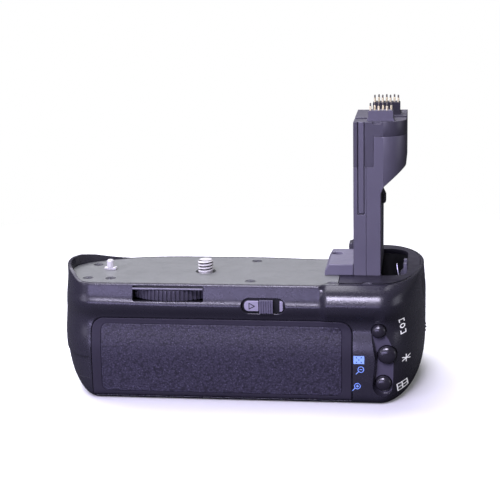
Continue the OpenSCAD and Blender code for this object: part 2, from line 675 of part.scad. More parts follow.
module post_board() {
    color("#2f6b3c") translate([post_x + post_wall + seat, post_y + 5, plate_z + seat])
        cube([1.2, post_d - 10, post_h - 4.4]);
}
module post_gusset() {
    color("#4f4d5a") translate([post_x - seat, post_y1 - 2, plate_z]) rotate([90, 0, 0])
        linear_extrude(post_y1 - 2 - pad_y1 - seat) difference() {
        translate([-3.4, 0]) square([3.4, 9]);
        translate([-3.4, 9]) circle(2.4);
    }
}
// A connector block with a flared foot; [x, y, width, height, depth]
module connector(x, y, w, h, d) {
    translate([x + w / 2, y + d, post_top]) rotate([90, 0, 0]) linear_extrude(d)
        polygon([[-w / 2 - 0.5, 0], [w / 2 + 0.5, 0], [w / 2 + 0.5, 0.7], [w / 2, 1.2], [w / 2, h - 0.4],
            [w / 2 - 0.4, h], [-w / 2 + 0.4, h], [-w / 2, h - 0.4], [-w / 2, 1.2], [-w / 2 - 0.5, 0.7]]);
}
back_block = [post_x + 5.8, post_y + 2.6, 9.7, 5.2];
front_block = [post_x + 6.8, post_y1 - 14.4, 11, 5.4];
pin_r = 0.42;
pin_room = 0.08;
pin_travel = 1.4;
// Pin places of a block in two staggered rows
function pins_at(b, n) = [for (i = [0 : n - 1])
    [b[0] + b[2] * (i + 0.5) / n, b[1] + b[3] / 2 + (i % 2 == 0 ? -0.9 : 0.9)]];
back_pin_n = 6;
front_pin_n = 7;
module block_with_bores(b, h, n) {
    difference() {
        connector(b[0], b[1], b[2], h, b[3]);
        for (p = pins_at(b, n)) translate([p[0], p[1], post_top - 1]) cylinder(r = pin_r + pin_room, h = h + 3);
    }
}
module back_connector() color("#3f3c4a") block_with_bores(back_block, block_h, back_pin_n);
module front_connector() color("#3f3c4a") block_with_bores(front_block, block_h + 0.8, front_pin_n);
module sprung_pins(b, h, n) {
    for (p = pins_at(b, n)) {
        translate([p[0], p[1], post_top + 1.6]) cylinder(r = pin_r, h = h - 1.6 + pin_l - 0.3);
        translate([p[0], p[1], post_top + h + pin_l - 0.3]) cylinder(r1 = pin_r, r2 = pin_r * 0.5, h = 0.3);
    }
}
module back_pins() color("#d8b24a") sprung_pins(back_block, block_h, back_pin_n);
module front_pins() color("#d8b24a") sprung_pins(front_block, block_h + 0.8, front_pin_n);

// Attachment drive
// Involute angle at radius r from base radius rb, in degrees
function inv_deg(r, rb) = let (t = sqrt(max(0, pow(r / rb, 2) - 1))) t * 180 / PI - atan(t);
// Outline of a spur gear: n teeth, from root radius ri to tip radius ro, each flank thinned by slack
module gear(n, ri, ro, slack, turn, steps) {
    rp = gear_m * n / 2;
    rb = rp * cos(20);
    half = 90 / n + inv_deg(rp, rb) - slack / rp * 180 / PI;
    flank = [for (i = [0 : steps]) let (r = mix(max(ri, rb), ro, i / steps)) [r, half - inv_deg(r, rb)]];
    tooth = concat([[ri, -half]], [for (f = flank) [f[0], -f[1]]],
        [for (i = [steps : -1 : 0]) flank[i]], [[ri, half]]);
    polygon([for (k = [0 : n - 1]) let (c = 360 * k / n + turn)
        for (q = tooth) [q[0] * cos(c + q[1]), q[0] * sin(c + q[1])]]);
}
module attachment_dial() {
    color("#2b2932") translate([dial_x, dial_y, dial_z0]) difference() {
        linear_extrude(dial_h) polygon([for (k = [0 : knurl_n - 1], q = [[-1.2, 0.55], [-0.9, 0], [0.9, 0], [1.2, 0.55]])
            let (a = 360 * k / knurl_n + q[0]) [(dial_r - q[1]) * cos(a), (dial_r - q[1]) * sin(a)]]);
        translate([0, 0, dial_floor]) linear_extrude(dial_h)
            gear(ring_n, ring_r - 0.75 * gear_m, ring_r + 1.15 * gear_m, -0.08, drive_a, 2);
        translate([0, 0, -1]) cylinder(r = stud_r + fit, h = 10);
    }
}
module dial_post() {
    color("#b4b5bb") {
        cylinder_at(dial_x, dial_y, dial_z0 - gap, rim_z - seat, stud_r);
        cylinder_at(dial_x, dial_y, dial_z0 - gap - 1, dial_z0 - gap, stud_r + 1.8);
        cylinder_at(dial_x, dial_y, rim_z - seat, rim_z + 0.9, 1.2);
        cylinder_at(dial_x, dial_y, dial_z0 + dial_floor + gap, rim_z - seat, stud_r + 1.2);
    }
}
pinion_z0 = dial_z0 + dial_floor + gap;
bush_z0 = rim_z - 1.1;
pinion_h = bush_z0 - gap - pinion_z0;
shaft_r = screw_r - 0.3;  // plain shaft below the thread
bush_r = ring_r - 0.75 * gear_m - drive_c - gap;
module camera_screw() {
    color("#c4c5ca") {
        cylinder_at(screw_x, screw_y, pinion_z0, plate_z + 0.2, shaft_r);
        cylinder_at(screw_x, screw_y, plate_z + 0.2, plate_z + screw_l - 0.5, screw_r);
        translate([screw_x, screw_y, plate_z + screw_l - 0.5]) cylinder(r1 = screw_r, r2 = screw_r - 0.6, h = 0.5);
    }
}
module screw_pinion() {
    color("#a9853f") translate([screw_x, screw_y, pinion_z0]) difference() {
        linear_extrude(pinion_h) gear(pinion_n, gear_m * (pinion_n / 2 - 1.15), gear_m * (pinion_n / 2 + 0.7), 0.08, drive_a, 3);
        translate([0, 0, -1]) cylinder(r = shaft_r + 0.01, h = pinion_h + 2);
    }
}
module screw_bush() {
    color("#9a9aa2") difference() {
        union() {
            cylinder_at(screw_x, screw_y, bush_z0, plate_z - 1, bush_r);
            cylinder_at(screw_x, screw_y, rim_z, plate_z - 1, screw_r + 1 - seat);
        }
        cylinder_at(screw_x, screw_y, bush_z0 - 1, plate_z + 1, shaft_r + fit);
    }
}
module locating_pin() {
    color("#c9cacf") {
        cylinder_at(pin_x, pin_y, rim_z, plate_z + 0.9, 1.3);
        cylinder_at(pin_x, pin_y, plate_z + 0.9, plate_z + 3.6, 1.5);
        translate([pin_x, pin_y, plate_z + 3.6]) cylinder(r1 = 1.5, r2 = 1, h = 0.5);
        difference() {
            cylinder_at(pin_x, pin_y, plate_z + seat, plate_z + 0.9, 2.6);
            translate([pin_x - 5, pin_y - 6.2, plate_z - 1]) cube([10, 5, 5]);
            translate([pin_x - 5, pin_y + 1.2, plate_z - 1]) cube([10, 5, 5]);
        }
    }
}

// Magazine
module magazine_cover() {
    color("#35323e") difference() {
        union() {
            sheet(columns(door_x0, door_x1, door_z0, door_z, 0.6, door_r, 0, 7), 14,
                function (x, z) back_y(x, z), function (x, z) back_y(x, z) + wall);
            for (i = [0 : 8]) rib(mix(door_x0 + 8, door_x1 - 8, i / 8));
        }
        sheet(rubber_cols(seat), 9, function (x, z) back_y(x, z) - 2, function (x, z) back_y(x, z) + rubber_t);
        catch_cut();
    }
}
// Stiffening rib behind the cover, above the tray
module rib(x) hull() {
    translate([x - 0.6, tray_y0 - 0.4, bay_z1 + 0.4]) cube([1.2, 0.5, 4]);
    translate([x - 0.4, tray_y0 - 0.4, bay_z1 + 1]) cube([0.8, 1.5, 2.8]);
}
// Finger notch at the cover's lower left corner
module catch_cut() {
    hull() for (z = [6, 17]) translate([door_x0 - 1, -half_d - 1, z]) rotate([-90, 0, 0]) cylinder(r1 = 4, r2 = 2.2, h = 3.6, $fn = 24);
}
module magazine_rubber() {
    color("#2f2c37") sheet(rubber_cols(0), 9, function (x, z) back_y(x, z) - 0.1, function (x, z) back_y(x, z) + rubber_t - seat);
}
module magazine_tray() {
    color("#232128") difference() {
        translate([tray_x0, tray_y0, tray_z0]) cube([tray_w, tray_y1 - tray_y0, tray_z1 - tray_z0]);
        for (i = [0 : 2]) translate([tray_x0 + tray_wall, cell_y(i), cell_z]) {
            rotate([0, 90, 0]) cylinder(r = cell_r, h = tray_w - 2 * tray_wall);
            translate([0, -cell_r + 0.5, 0]) cube([tray_w - 2 * tray_wall, 2 * cell_r - 1, 20]);
        }
        for (i = [0 : 2]) translate([tray_x0 + tray_w * 0.36, cell_y(i) - 4, tray_z0 - 1]) cube([tray_w * 0.28, 8, 4]);
    }
}
plate_thick = 0.3;
module cell_plate(x, i) translate([x, cell_y(i) - 5.4, cell_z - 5]) cube([plate_thick, 10.8, 9]);
module cell_plates() {
    color("#b9a06a") for (i = [0 : 2]) cell_plate(tray_x0 + tray_w - tray_wall - plate_thick - 0.02, i);
}
// Flat springs that press each row of cells together
module cell_springs() {
    x0 = tray_x0 + tray_wall + 0.02;
    color("#c7c8cc") for (i = [0 : 2]) translate([x0, cell_y(i) + 4.5, 0]) rotate([90, 0, 0]) linear_extrude(9)
        polygon([[0, cell_z - 5], [plate_thick, cell_z - 5], [1.3, cell_z], [plate_thick, cell_z + 4], [0, cell_z + 4],
            [1, cell_z]]);
}
terminal_at = [tray_x0 + 30, tray_x0 + tray_w - 36];
module tray_terminals() {
    color("#c9a35a") for (x = terminal_at) translate([x, tray_y1 + 0.02, tray_z0 + 3]) cube([7, 0.5, 7]);
}
module magazine_bay() {
    x0 = door_x0 - door_gap - 1.1;
    x1 = door_x1 + door_gap + 1.1;
    y0 = tray_y0 + 1;
    color("#3b3942") difference() {
        union() {
            translate([x0, y0, bay_z0]) cube([x1 - x0, bay_y1 - y0, bay_z1 - bay_z0]);
            for (p = base_screw_at) cylinder_at(p[0], p[1], base_t + seat, bay_z0 + 0.2, 2.5);
        }
        for (p = base_screw_at) cylinder_at(p[0], p[1], 0, bay_z0 - 0.5, 1.1 + seat);
        translate([x0 + bay_t, y0 - 1, bay_z0 + bay_t]) cube([x1 - x0 - 2 * bay_t, bay_y1 - y0 - bay_t + 1, bay_z1 - bay_z0 - 2 * bay_t]);
        for (x = terminal_at) translate([x - seat, bay_y1 - bay_t - 1, tray_z0 + 3 - seat]) cube([7 + 2 * seat, 5, 7 + 2 * seat]);
    }
}
module bay_terminals() {
    y0 = tray_y1 + 0.52 + gap;
    color("#c9a35a") for (x = terminal_at) translate([x, y0, tray_z0 + 3]) cube([7, bay_y1 + 0.8 - y0, 7]);
}

// Release slide
module release_plate() {
    color("#a7a6b0") difference() {
        hull() for (s = [-1, 1]) translate([slot_x + s * (slot_w - slot_h) / 2, slot_y + 1.7, slot_z])
            rotate([-90, 0, 0]) cylinder(d = slot_h - 2 * seat, h = 0.8);
        translate([slot_x - 0.2, slot_y, slot_z - 1]) cube([knob_w - 1.4 + release_travel + 0.6, 6, 2]);
    }
}
knob_x0 = slot_x - 1.4;
module release_knob() {
    color("#7d7b88") {
        translate([knob_x0, slot_y - 0.2, slot_z - slot_h / 2 + gap + 0.1]) difference() {
            cube([knob_w, 1.7 + 0.2 - gap, slot_h - 2 * gap - 0.2]);
            for (i = [0 : 4]) translate([0.7 + i * 0.95, -0.1, -1]) cube([0.45, 0.5, slot_h + 2]);
        }
        translate([knob_x0 + 1.6, slot_y + 1, slot_z - 0.7]) cube([knob_w - 2.8, 3.6, 1.4]);
    }
}
module release_bar() {
    y = slot_y + 3.6;
    color("#4a4852") difference() {
        union() {
            translate([knob_x0 - 8, y, slot_z - 2.2]) cube([20, 1.4, 4.4]);
            translate([knob_x0 + 8, y + 1.3, door_z + door_gap + gap]) cube([3, 1.4, slot_z + 2 - door_z - door_gap - gap]);
        }
        translate([knob_x0 + 1.6 - seat, y - 1, slot_z - 0.7 - seat]) cube([knob_w - 2.8 + 2 * seat, 4, 1.4 + 2 * seat]);
    }
}

// Thumb buttons and their board
module dome_button(b) {
    r = b[2] / 2;
    translate([b[0], thumb_y + thumb_t, b[1]]) rotate([90, 0, 0]) rotate_extrude() polygon(concat(
        [[0, -thumb_back - 1.1], [r + 0.5, -thumb_back - 1.1], [r + 0.5, -thumb_back], [r, -thumb_back]],
        [for (i = [0 : 6]) let (a = 15 * i) [r - 0.9 + 0.9 * cos(a), thumb_t + thumb_floor - 1.1 + 0.9 * sin(a)]],
        [[r * 0.5, thumb_t + thumb_floor + 0.02], [0, thumb_t + thumb_floor + 0.1]]));
}
module upper_button() color("#34323c") dome_button(thumb[0]);
module middle_button() color("#34323c") dome_button(thumb[1]);
module lower_button() color("#34323c") dome_button(thumb[2]);
board_y = thumb_y + thumb_t + thumb_back + 1.1 + press + 1.3;
module button_board() {
    x0 = thumb[0][0] - 4;
    color("#2f6b3c") {
        translate([x0, board_y, 6.9]) cube([9.3, 1.2, 26.4]);
        for (b = thumb) translate([b[0], board_y - 1.1, b[1]]) rotate([-90, 0, 0]) cylinder(r = 1.8, h = 1.1);
        for (z = [14.7, 25.5]) translate([x0 + 1.4, thumb_y + thumb_t + seat, z]) rotate([-90, 0, 0])
            cylinder(r = 1.2, h = board_y + eps - thumb_y - thumb_t - seat);
    }
}

// Finger controls
module shutter_collar() {
    r0 = shutter_d / 2 + gap;
    r1 = shutter_d / 2 + collar_w;
    color("#4b4955") at_end(shutter_t, shutter_z) rotate_extrude()
        polygon([[r0, -4], [r1, -4], [r1, 0.5], [r1 - 0.8, 1.1], [r0 + 0.3, 0.7], [r0, 0]]);
}
module shutter_button() {
    r = shutter_d / 2;
    color("#56545f") at_end(shutter_t, shutter_z) rotate_extrude() polygon([
        [0, -5.6], [r + 0.7, -5.6], [r + 0.7, -4 - gap], [r, -4 - gap], [r, 0.9], [r - 0.5, 1.4], [r * 0.5, 1.1], [0, 1]]);
}
module function_button() {
    color("#4a4854") at_end(function_t, function_z) rotate_extrude() polygon([
        [0, -5.5], [4, -5.5], [4, -wall - gap - 1.1], [3, -wall - gap - 1.1], [3, 0.2], [2.6, 0.6], [0, 0.8]]);
}
module control_dial() {
    color("#2b2932") at_end(wheel_t, wheel_z) translate([0, 0, -wheel_sink]) rotate([90, 0, 0]) difference() {
        translate([0, 0, -wheel_w / 2]) linear_extrude(wheel_w) polygon([for (k = [0 : 35], q = [[-2.2, 0.7], [-1.2, 0], [1.2, 0], [2.2, 0.7]])
            let (a = 10 * k + q[0]) [(wheel_r - q[1]) * cos(a), (wheel_r - q[1]) * sin(a)]]);
        translate([0, 0, -10]) cylinder(r = 1.5 + fit, h = 20);
    }
}
module control_dial_axle() {
    color("#b4b5bb") at_end(wheel_t, wheel_z) translate([0, 0, -wheel_sink]) rotate([90, 0, 0])
        translate([0, 0, -wheel_w / 2 - 3]) cylinder(r = 1.5, h = wheel_w + 6);
}
module power_switch() {
    y = front_y(switch_x, switch_z);
    color("#44424d") translate([switch_x, 0, switch_z]) rotate([-90, 0, 0]) {
        translate([0, 0, y - 6]) cylinder(r = 5.2, h = 6.6);
        translate([0, 0, y + 0.4]) linear_extrude(1) hull() {
            circle(4.4);
            translate([-5.2, 0]) circle(1.6);
        }
        translate([0, 0, y - 6]) cylinder(r = 6.6, h = 1.8);
    }
}
module main_board() {
    z = bay_z1 + 1;
    color("#2f6b3c") {
        translate([-6, 11.5 - half_d, z]) cube([door_x1 + 9.9, 36, 1.2]);
        translate([22, -18, z + 1.2]) cube([9, 9, 1.1]);
        translate([2, -8, z + 1.2]) cube([12, 5, 2.2]);
        for (x = [-2, door_x1 - 2.1]) cylinder_at(x, 17.5 - half_d, bay_z1 + seat, z, 1.6);
    }
}

rear_housing();
front_housing();
top_plate();
post_base_plate();
cover_well();
well_spring_clip();
cover_hooks();
base_plate();
tripod_socket();
base_screws();
top_screws();
raised_pad();
pad_screw();
post_left_shell();
post_right_shell();
post_cap();
post_guide_rail();
post_latch();
post_board();
post_gusset();
back_connector();
front_connector();
back_pins();
front_pins();
attachment_dial();
dial_post();
camera_screw();
screw_pinion();
screw_bush();
locating_pin();
magazine_cover();
magazine_rubber();
magazine_tray();
cell_plates();
cell_springs();
tray_terminals();
magazine_bay();
bay_terminals();
release_plate();
release_knob();
release_bar();
upper_button();
middle_button();
lower_button();
button_board();
front_grip_rubber();
shutter_collar();
shutter_button();
function_button();
control_dial();
control_dial_axle();
power_switch();
main_board();
end_trim();
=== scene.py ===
import json
import math

import bmesh
import bpy
import numpy as np
from mathutils import Matrix, Vector
from mathutils.bvhtree import BVHTree


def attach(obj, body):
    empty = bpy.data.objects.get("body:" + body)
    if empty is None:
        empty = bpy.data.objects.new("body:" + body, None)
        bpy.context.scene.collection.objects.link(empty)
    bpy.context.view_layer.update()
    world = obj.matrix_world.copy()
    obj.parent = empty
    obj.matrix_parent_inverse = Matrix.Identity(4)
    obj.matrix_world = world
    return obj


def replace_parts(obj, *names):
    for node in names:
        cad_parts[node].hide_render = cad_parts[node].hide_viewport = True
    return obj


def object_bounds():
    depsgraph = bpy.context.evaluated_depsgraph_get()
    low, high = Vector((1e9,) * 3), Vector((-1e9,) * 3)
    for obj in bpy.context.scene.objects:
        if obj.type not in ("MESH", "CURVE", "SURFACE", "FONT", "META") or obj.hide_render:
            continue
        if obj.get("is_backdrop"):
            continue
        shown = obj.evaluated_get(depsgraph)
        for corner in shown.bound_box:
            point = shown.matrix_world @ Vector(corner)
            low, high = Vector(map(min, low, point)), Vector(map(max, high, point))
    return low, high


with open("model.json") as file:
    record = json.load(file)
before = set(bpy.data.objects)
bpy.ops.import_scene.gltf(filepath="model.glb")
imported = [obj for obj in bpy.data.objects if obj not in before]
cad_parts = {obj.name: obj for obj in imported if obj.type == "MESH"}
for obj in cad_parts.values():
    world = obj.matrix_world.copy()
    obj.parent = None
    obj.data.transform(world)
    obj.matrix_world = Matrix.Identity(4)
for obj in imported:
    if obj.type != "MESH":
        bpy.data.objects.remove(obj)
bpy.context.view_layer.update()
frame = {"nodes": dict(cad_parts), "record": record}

# Sizes in the dictionaries are millimetres in the CAD's frame. They repeat the CAD's own values where a piece stands
# for a node, and can be changed there one by one.
mm = 0.001
scene = bpy.context.scene
print("frame loaded")

housing = {"half": 74.6, "reach": 35.82, "endX": 57.0, "rightY": 9.0, "leftY": -9.0, "plateZ": 48.0, "rimZ": 46.0,
           "wall": 2.2, "waist": 2.7, "waistZ": 33.0, "waistHalf": 4.5, "waistLow": 7.5, "rest": 1.8, "restX": 33.0,
           "restRamp": 3.6, "restRidgeZ": 42.3, "restZ": 29, "restRun": 9, "foot": 4, "horn": 4.2, "rim": 1.4,
           "topEdge": 0.45, "splitY": 5.0, "lip": 0.35, "front": 37.5, "frontTop": 12.6, "rightDrop": 8.5,
           "rightPower": 2.6}
# The bright ridge above the waist: where it starts, how far it rises to the left, its slope and soft bead
ridge = {"z": 39.5, "rise": 1.1, "riseX": -20, "riseRun": 50, "slope": 0.21, "soft": 0.8, "bead": 0.43, "beadUp": 1.2,
         "beadSoft": 1.1}
shoulder = {"z": 40.9, "slope": 0.42, "soft": 0.35, "roll": 3.38, "rollRun": 5, "rollPower": 3.2}
# The front: how the narrow left part widens to the right, and how the lower part narrows to the left
frontForm = {"drop": 2.3, "rampX": 33, "ramp": 22, "less": 0.5, "taper": 13.4, "taperLeft": 25, "taperRate": 0.8, "z": 30,
             "run": 16, "footHigh": 12, "footDeep": 9, "leftLow": -54, "leftTop": -25, "leftZ": 24}
# The ends: their lower curve and how they lean in above it
ends = {"curveTop": 22, "leanIn": 0.8, "leanZ": 36, "leanRun": 12, "leftLean": 2.3, "leftZ": 25, "leftRun": 27,
        "leftPower": 1.2, "leftFoot": 12}


# Outer form of the housing, as in the CAD, for arrays of places
def ease(t):
    t = np.clip(t, 0, 1)
    return t * t * (3 - 2 * t)


def mix(a, b, t):
    return a + (b - a) * t


def bottomRound(z, height, reach):
    return np.where(z < height, reach * (1 - np.sqrt(np.clip(1 - ((height - z) / height) ** 2, 0, 1))), 0)


def softRamp(z, soft):
    return soft * np.log1p(np.exp(np.clip(z / soft, -30, 30)))


def backY(x, z):
    h = housing
    x, z = np.asarray(x, float), np.asarray(z, float)
    aside = ease((x - h["restX"]) / h["restRamp"])
    step = aside * h["rest"] * ease((z - h["restZ"]) / h["restRun"])
    over = z - ridge["z"] - ridge["rise"] * ease((ridge["riseX"] - x) / ridge["riseRun"])
    bead = ridge["slope"] * softRamp(over, ridge["soft"]) \
        + ridge["bead"] * (1 + np.tanh((over - ridge["beadUp"]) / ridge["beadSoft"]))
    rolled = shoulder["slope"] * softRamp(z - shoulder["z"], shoulder["soft"]) \
        + shoulder["roll"] * (np.clip(z - h["restRidgeZ"], 0, None) / shoulder["rollRun"]) ** shoulder["rollPower"]
    half = np.where(z > h["waistZ"], h["waistHalf"], h["waistLow"])
    return -(h["reach"] - h["waist"] * np.exp(-((z - h["waistZ"]) / half) ** 2)
             - mix(bead, rolled, aside) - bottomRound(z, h["foot"], h["foot"]) + step)


def frontY(x, z):
    h, f = housing, frontForm
    x, z = np.asarray(x, float), np.asarray(z, float)
    hollow = h["frontTop"] - f["drop"]
    widened = (h["front"] - f["less"] - hollow) * ease((x - f["rampX"]) / f["ramp"])
    top = mix(h["frontTop"], hollow, ease(x / f["rampX"])) + widened
    low = h["front"] - f["taper"] * ease((h["endX"] - x) / (h["endX"] + f["taperLeft"]) * f["taperRate"])
    return mix(low, top, ease((z - f["z"]) / f["run"])) - bottomRound(z, f["footHigh"], f["footDeep"])


def rightX(z):
    h, e = housing, ends
    low = np.clip((e["curveTop"] - z) / e["curveTop"], 0, 1)
    curve = (1 - low ** h["rightPower"]) ** (1 / h["rightPower"])
    return h["half"] - e["leanIn"] * ease((z - e["leanZ"]) / e["leanRun"]) - h["rightDrop"] * (1 - curve)


def leftX(z):
    e = ends
    lean = e["leftLean"] * (np.clip(z - e["leftZ"], 0, None) / e["leftRun"]) ** e["leftPower"]
    return -housing["half"] + lean + bottomRound(z, e["curveTop"], e["leftFoot"])


def outline(z, inset=0.0, fine=2):
    h = housing
    z = float(z)
    ex = h["endX"]
    a = np.radians(np.linspace(0, 90, 12 * fine + 1))
    xr, xl = rightX(z) - inset - ex, -ex - leftX(z) - inset
    f = frontForm
    xf = float(mix(f["leftLow"], f["leftTop"], ease((z - f["leftZ"]) / f["run"])))
    xlf = xf - leftX(z) - inset
    yb, yl = backY(ex, z) + inset, backY(-ex, z) + inset
    yr, yf = frontY(ex, z) - inset, frontY(xf, z) - inset
    xs = np.concatenate([np.linspace(-ex, 32.5, 36 * fine), np.linspace(32.9, 37.5, 7 * fine),
                         np.linspace(38.5, ex - 1, 8 * fine)])
    fx = np.linspace(ex, xf, 22 * fine)

    def quarter(x, reach, middle, y):
        return np.stack([x + reach * np.sin(a), middle + (y - middle) * np.cos(a)], 1)

    return np.concatenate([
        np.stack([xs, backY(xs, z) + inset], 1), quarter(ex, xr, h["rightY"], yb),
        quarter(ex, xr, h["rightY"], yr)[-2:0:-1], np.stack([fx, frontY(fx, z) - inset], 1),
        quarter(xf, -xlf, h["leftY"], yf)[1:], quarter(-ex, -xl, h["leftY"], yl)[-2:0:-1]])


hornCurve = np.array([[-31, 0], [-29.5, 0.2], [-27, 0.6], [-24, 0.85], [-20, 0.96], [-14, 1], [-2, 0.97], [2, 0.75],
                      [6, 0.3], [9, 0]])


def hornRise(points):
    rise = housing["horn"] * np.interp(points[:, 1], hornCurve[:, 0], hornCurve[:, 1], left=0, right=0)
    return np.where(points[:, 0] > -50, 0, rise)


# Mesh helpers
def linked(name, mesh):
    obj = bpy.data.objects.new(name, mesh)
    scene.collection.objects.link(obj)
    return obj


def newObject(name, verts, faces, scale=mm):
    mesh = bpy.data.meshes.new(name)
    mesh.from_pydata([tuple(float(c) * scale for c in v) for v in verts], [], faces)
    mesh.validate()
    fixNormals(mesh)
    return linked(name, mesh)


def fixNormals(mesh):
    bm = bmesh.new()
    bm.from_mesh(mesh)
    bmesh.ops.recalc_face_normals(bm, faces=bm.faces)
    bm.to_mesh(mesh)
    bm.free()


def ringFaces(count, rings):
    faces = []
    for a in range(0, (rings - 1) * count, count):
        faces += [(a + i, a + (i + 1) % count, a + count + (i + 1) % count, a + count + i) for i in range(count)]
    return faces


def flatRing(points, z):
    return np.column_stack([points, np.full(len(points), z)])


def ringSolid(name, rings, topPoint=None):
    count = len(rings[0])
    verts = np.concatenate(rings).tolist()
    faces = ringFaces(count, len(rings))
    faces.append(tuple(range(count - 1, -1, -1)))
    last = (len(rings) - 1) * count
    if topPoint is None:
        faces.append(tuple(range(last, last + count)))
    else:
        verts.append(topPoint)
        faces += [(last + i, last + (i + 1) % count, len(verts) - 1) for i in range(count)]
    return newObject(name, verts, faces)


def bake(obj):
    depsgraph = bpy.context.evaluated_depsgraph_get()
    mesh = bpy.data.meshes.new_from_object(obj.evaluated_get(depsgraph))
    obj.modifiers.clear()
    old = obj.data
    obj.data = mesh
    if old.users == 0:
        bpy.data.meshes.remove(old)
    return obj


def boolean(target, cutter, operation="DIFFERENCE"):
    mod = target.modifiers.new("cut", "BOOLEAN")
    mod.operation, mod.solver, mod.object = operation, "MANIFOLD", cutter
    before = len(target.data.polygons)
    bpy.context.view_layer.update()
    bake(target)
    if len(target.data.polygons) < max(4, before * 0.2):
        print("  boolean left little of", target.name, "with", cutter.name)
    bpy.data.objects.remove(cutter)
    return target


def smoothShade(obj, angle=32):
    obj.data.shade_smooth()
    obj.data.set_sharp_from_angle(angle=math.radians(angle))
    return obj


def mirrored(obj, axis):
    obj.data.transform(Matrix.Scale(-1, 4, axis))
    fixNormals(obj.data)
    return obj


def bevelled(obj, width):
    mod = obj.modifiers.new("edge", "BEVEL")
    mod.width, mod.segments, mod.limit_method = width * mm, 2, "ANGLE"
    mod.angle_limit = math.radians(30)
    bpy.context.view_layer.update()
    return bake(obj)


def paint(obj, mat):
    obj.data.materials.clear()
    obj.data.materials.append(mat)
    return obj


bodyOf = {n: b for b, group in frame["record"]["behaviour"]["bodies"].items() for n in group}


def place(obj, node, mat, replace=True):
    paint(obj, mat)
    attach(obj, bodyOf[node])
    if replace:
        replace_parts(obj, node)
    return obj


# A node's own form, cleaned, with its edges rounded and its large faces flat
def refined(node, mat, width):
    source = frame["nodes"][node].data
    bm = bmesh.new()
    bm.from_mesh(source)
    bmesh.ops.remove_doubles(bm, verts=bm.verts, dist=2e-6)
    bmesh.ops.dissolve_limit(bm, angle_limit=math.radians(0.6), verts=bm.verts, edges=bm.edges)
    bmesh.ops.recalc_face_normals(bm, faces=bm.faces)
    mesh = bpy.data.meshes.new(node + "_fine")
    bm.to_mesh(mesh)
    bm.free()
    obj = linked(mesh.name, mesh)
    smoothShade(bevelled(obj, width))
    for face in obj.data.polygons:
        if face.area > (1.2 * mm) ** 2 and max(abs(c) for c in face.normal) > 0.99995:
            face.use_smooth = False
    return place(obj, node, mat)


def lathe(name, profile, count=48, matrix=None):
    verts, faces = [], []
    n = len(profile)
    for i in range(count):
        a = 2 * math.pi * i / count
        verts += [(r * math.cos(a), r * math.sin(a), z) for r, z in profile]
    for i in range(count):
        k = (i + 1) % count
        faces += [(i * n + j, k * n + j, k * n + j + 1, i * n + j + 1) for j in range(n - 1)]
    faces.append([i * n for i in range(count)][::-1])
    faces.append([i * n + n - 1 for i in range(count)])
    obj = newObject(name, verts, faces)
    if matrix is not None:
        obj.data.transform(matrix)
    return obj


def frameAt(origin, out, up=(0, 0, 1)):
    z = Vector(out).normalized()
    x = Vector(up).cross(z).normalized()
    y = z.cross(x)
    m = Matrix((x, y, z)).transposed().to_4x4()
    m.translation = Vector(origin) * mm
    return m


# Materials: everything is placed by Object coordinates, which are the CAD's, in metres
def colorSocket(sockets, name=None):
    return [s for s in sockets if s.type == "RGBA" and name in (None, s.name)][0]


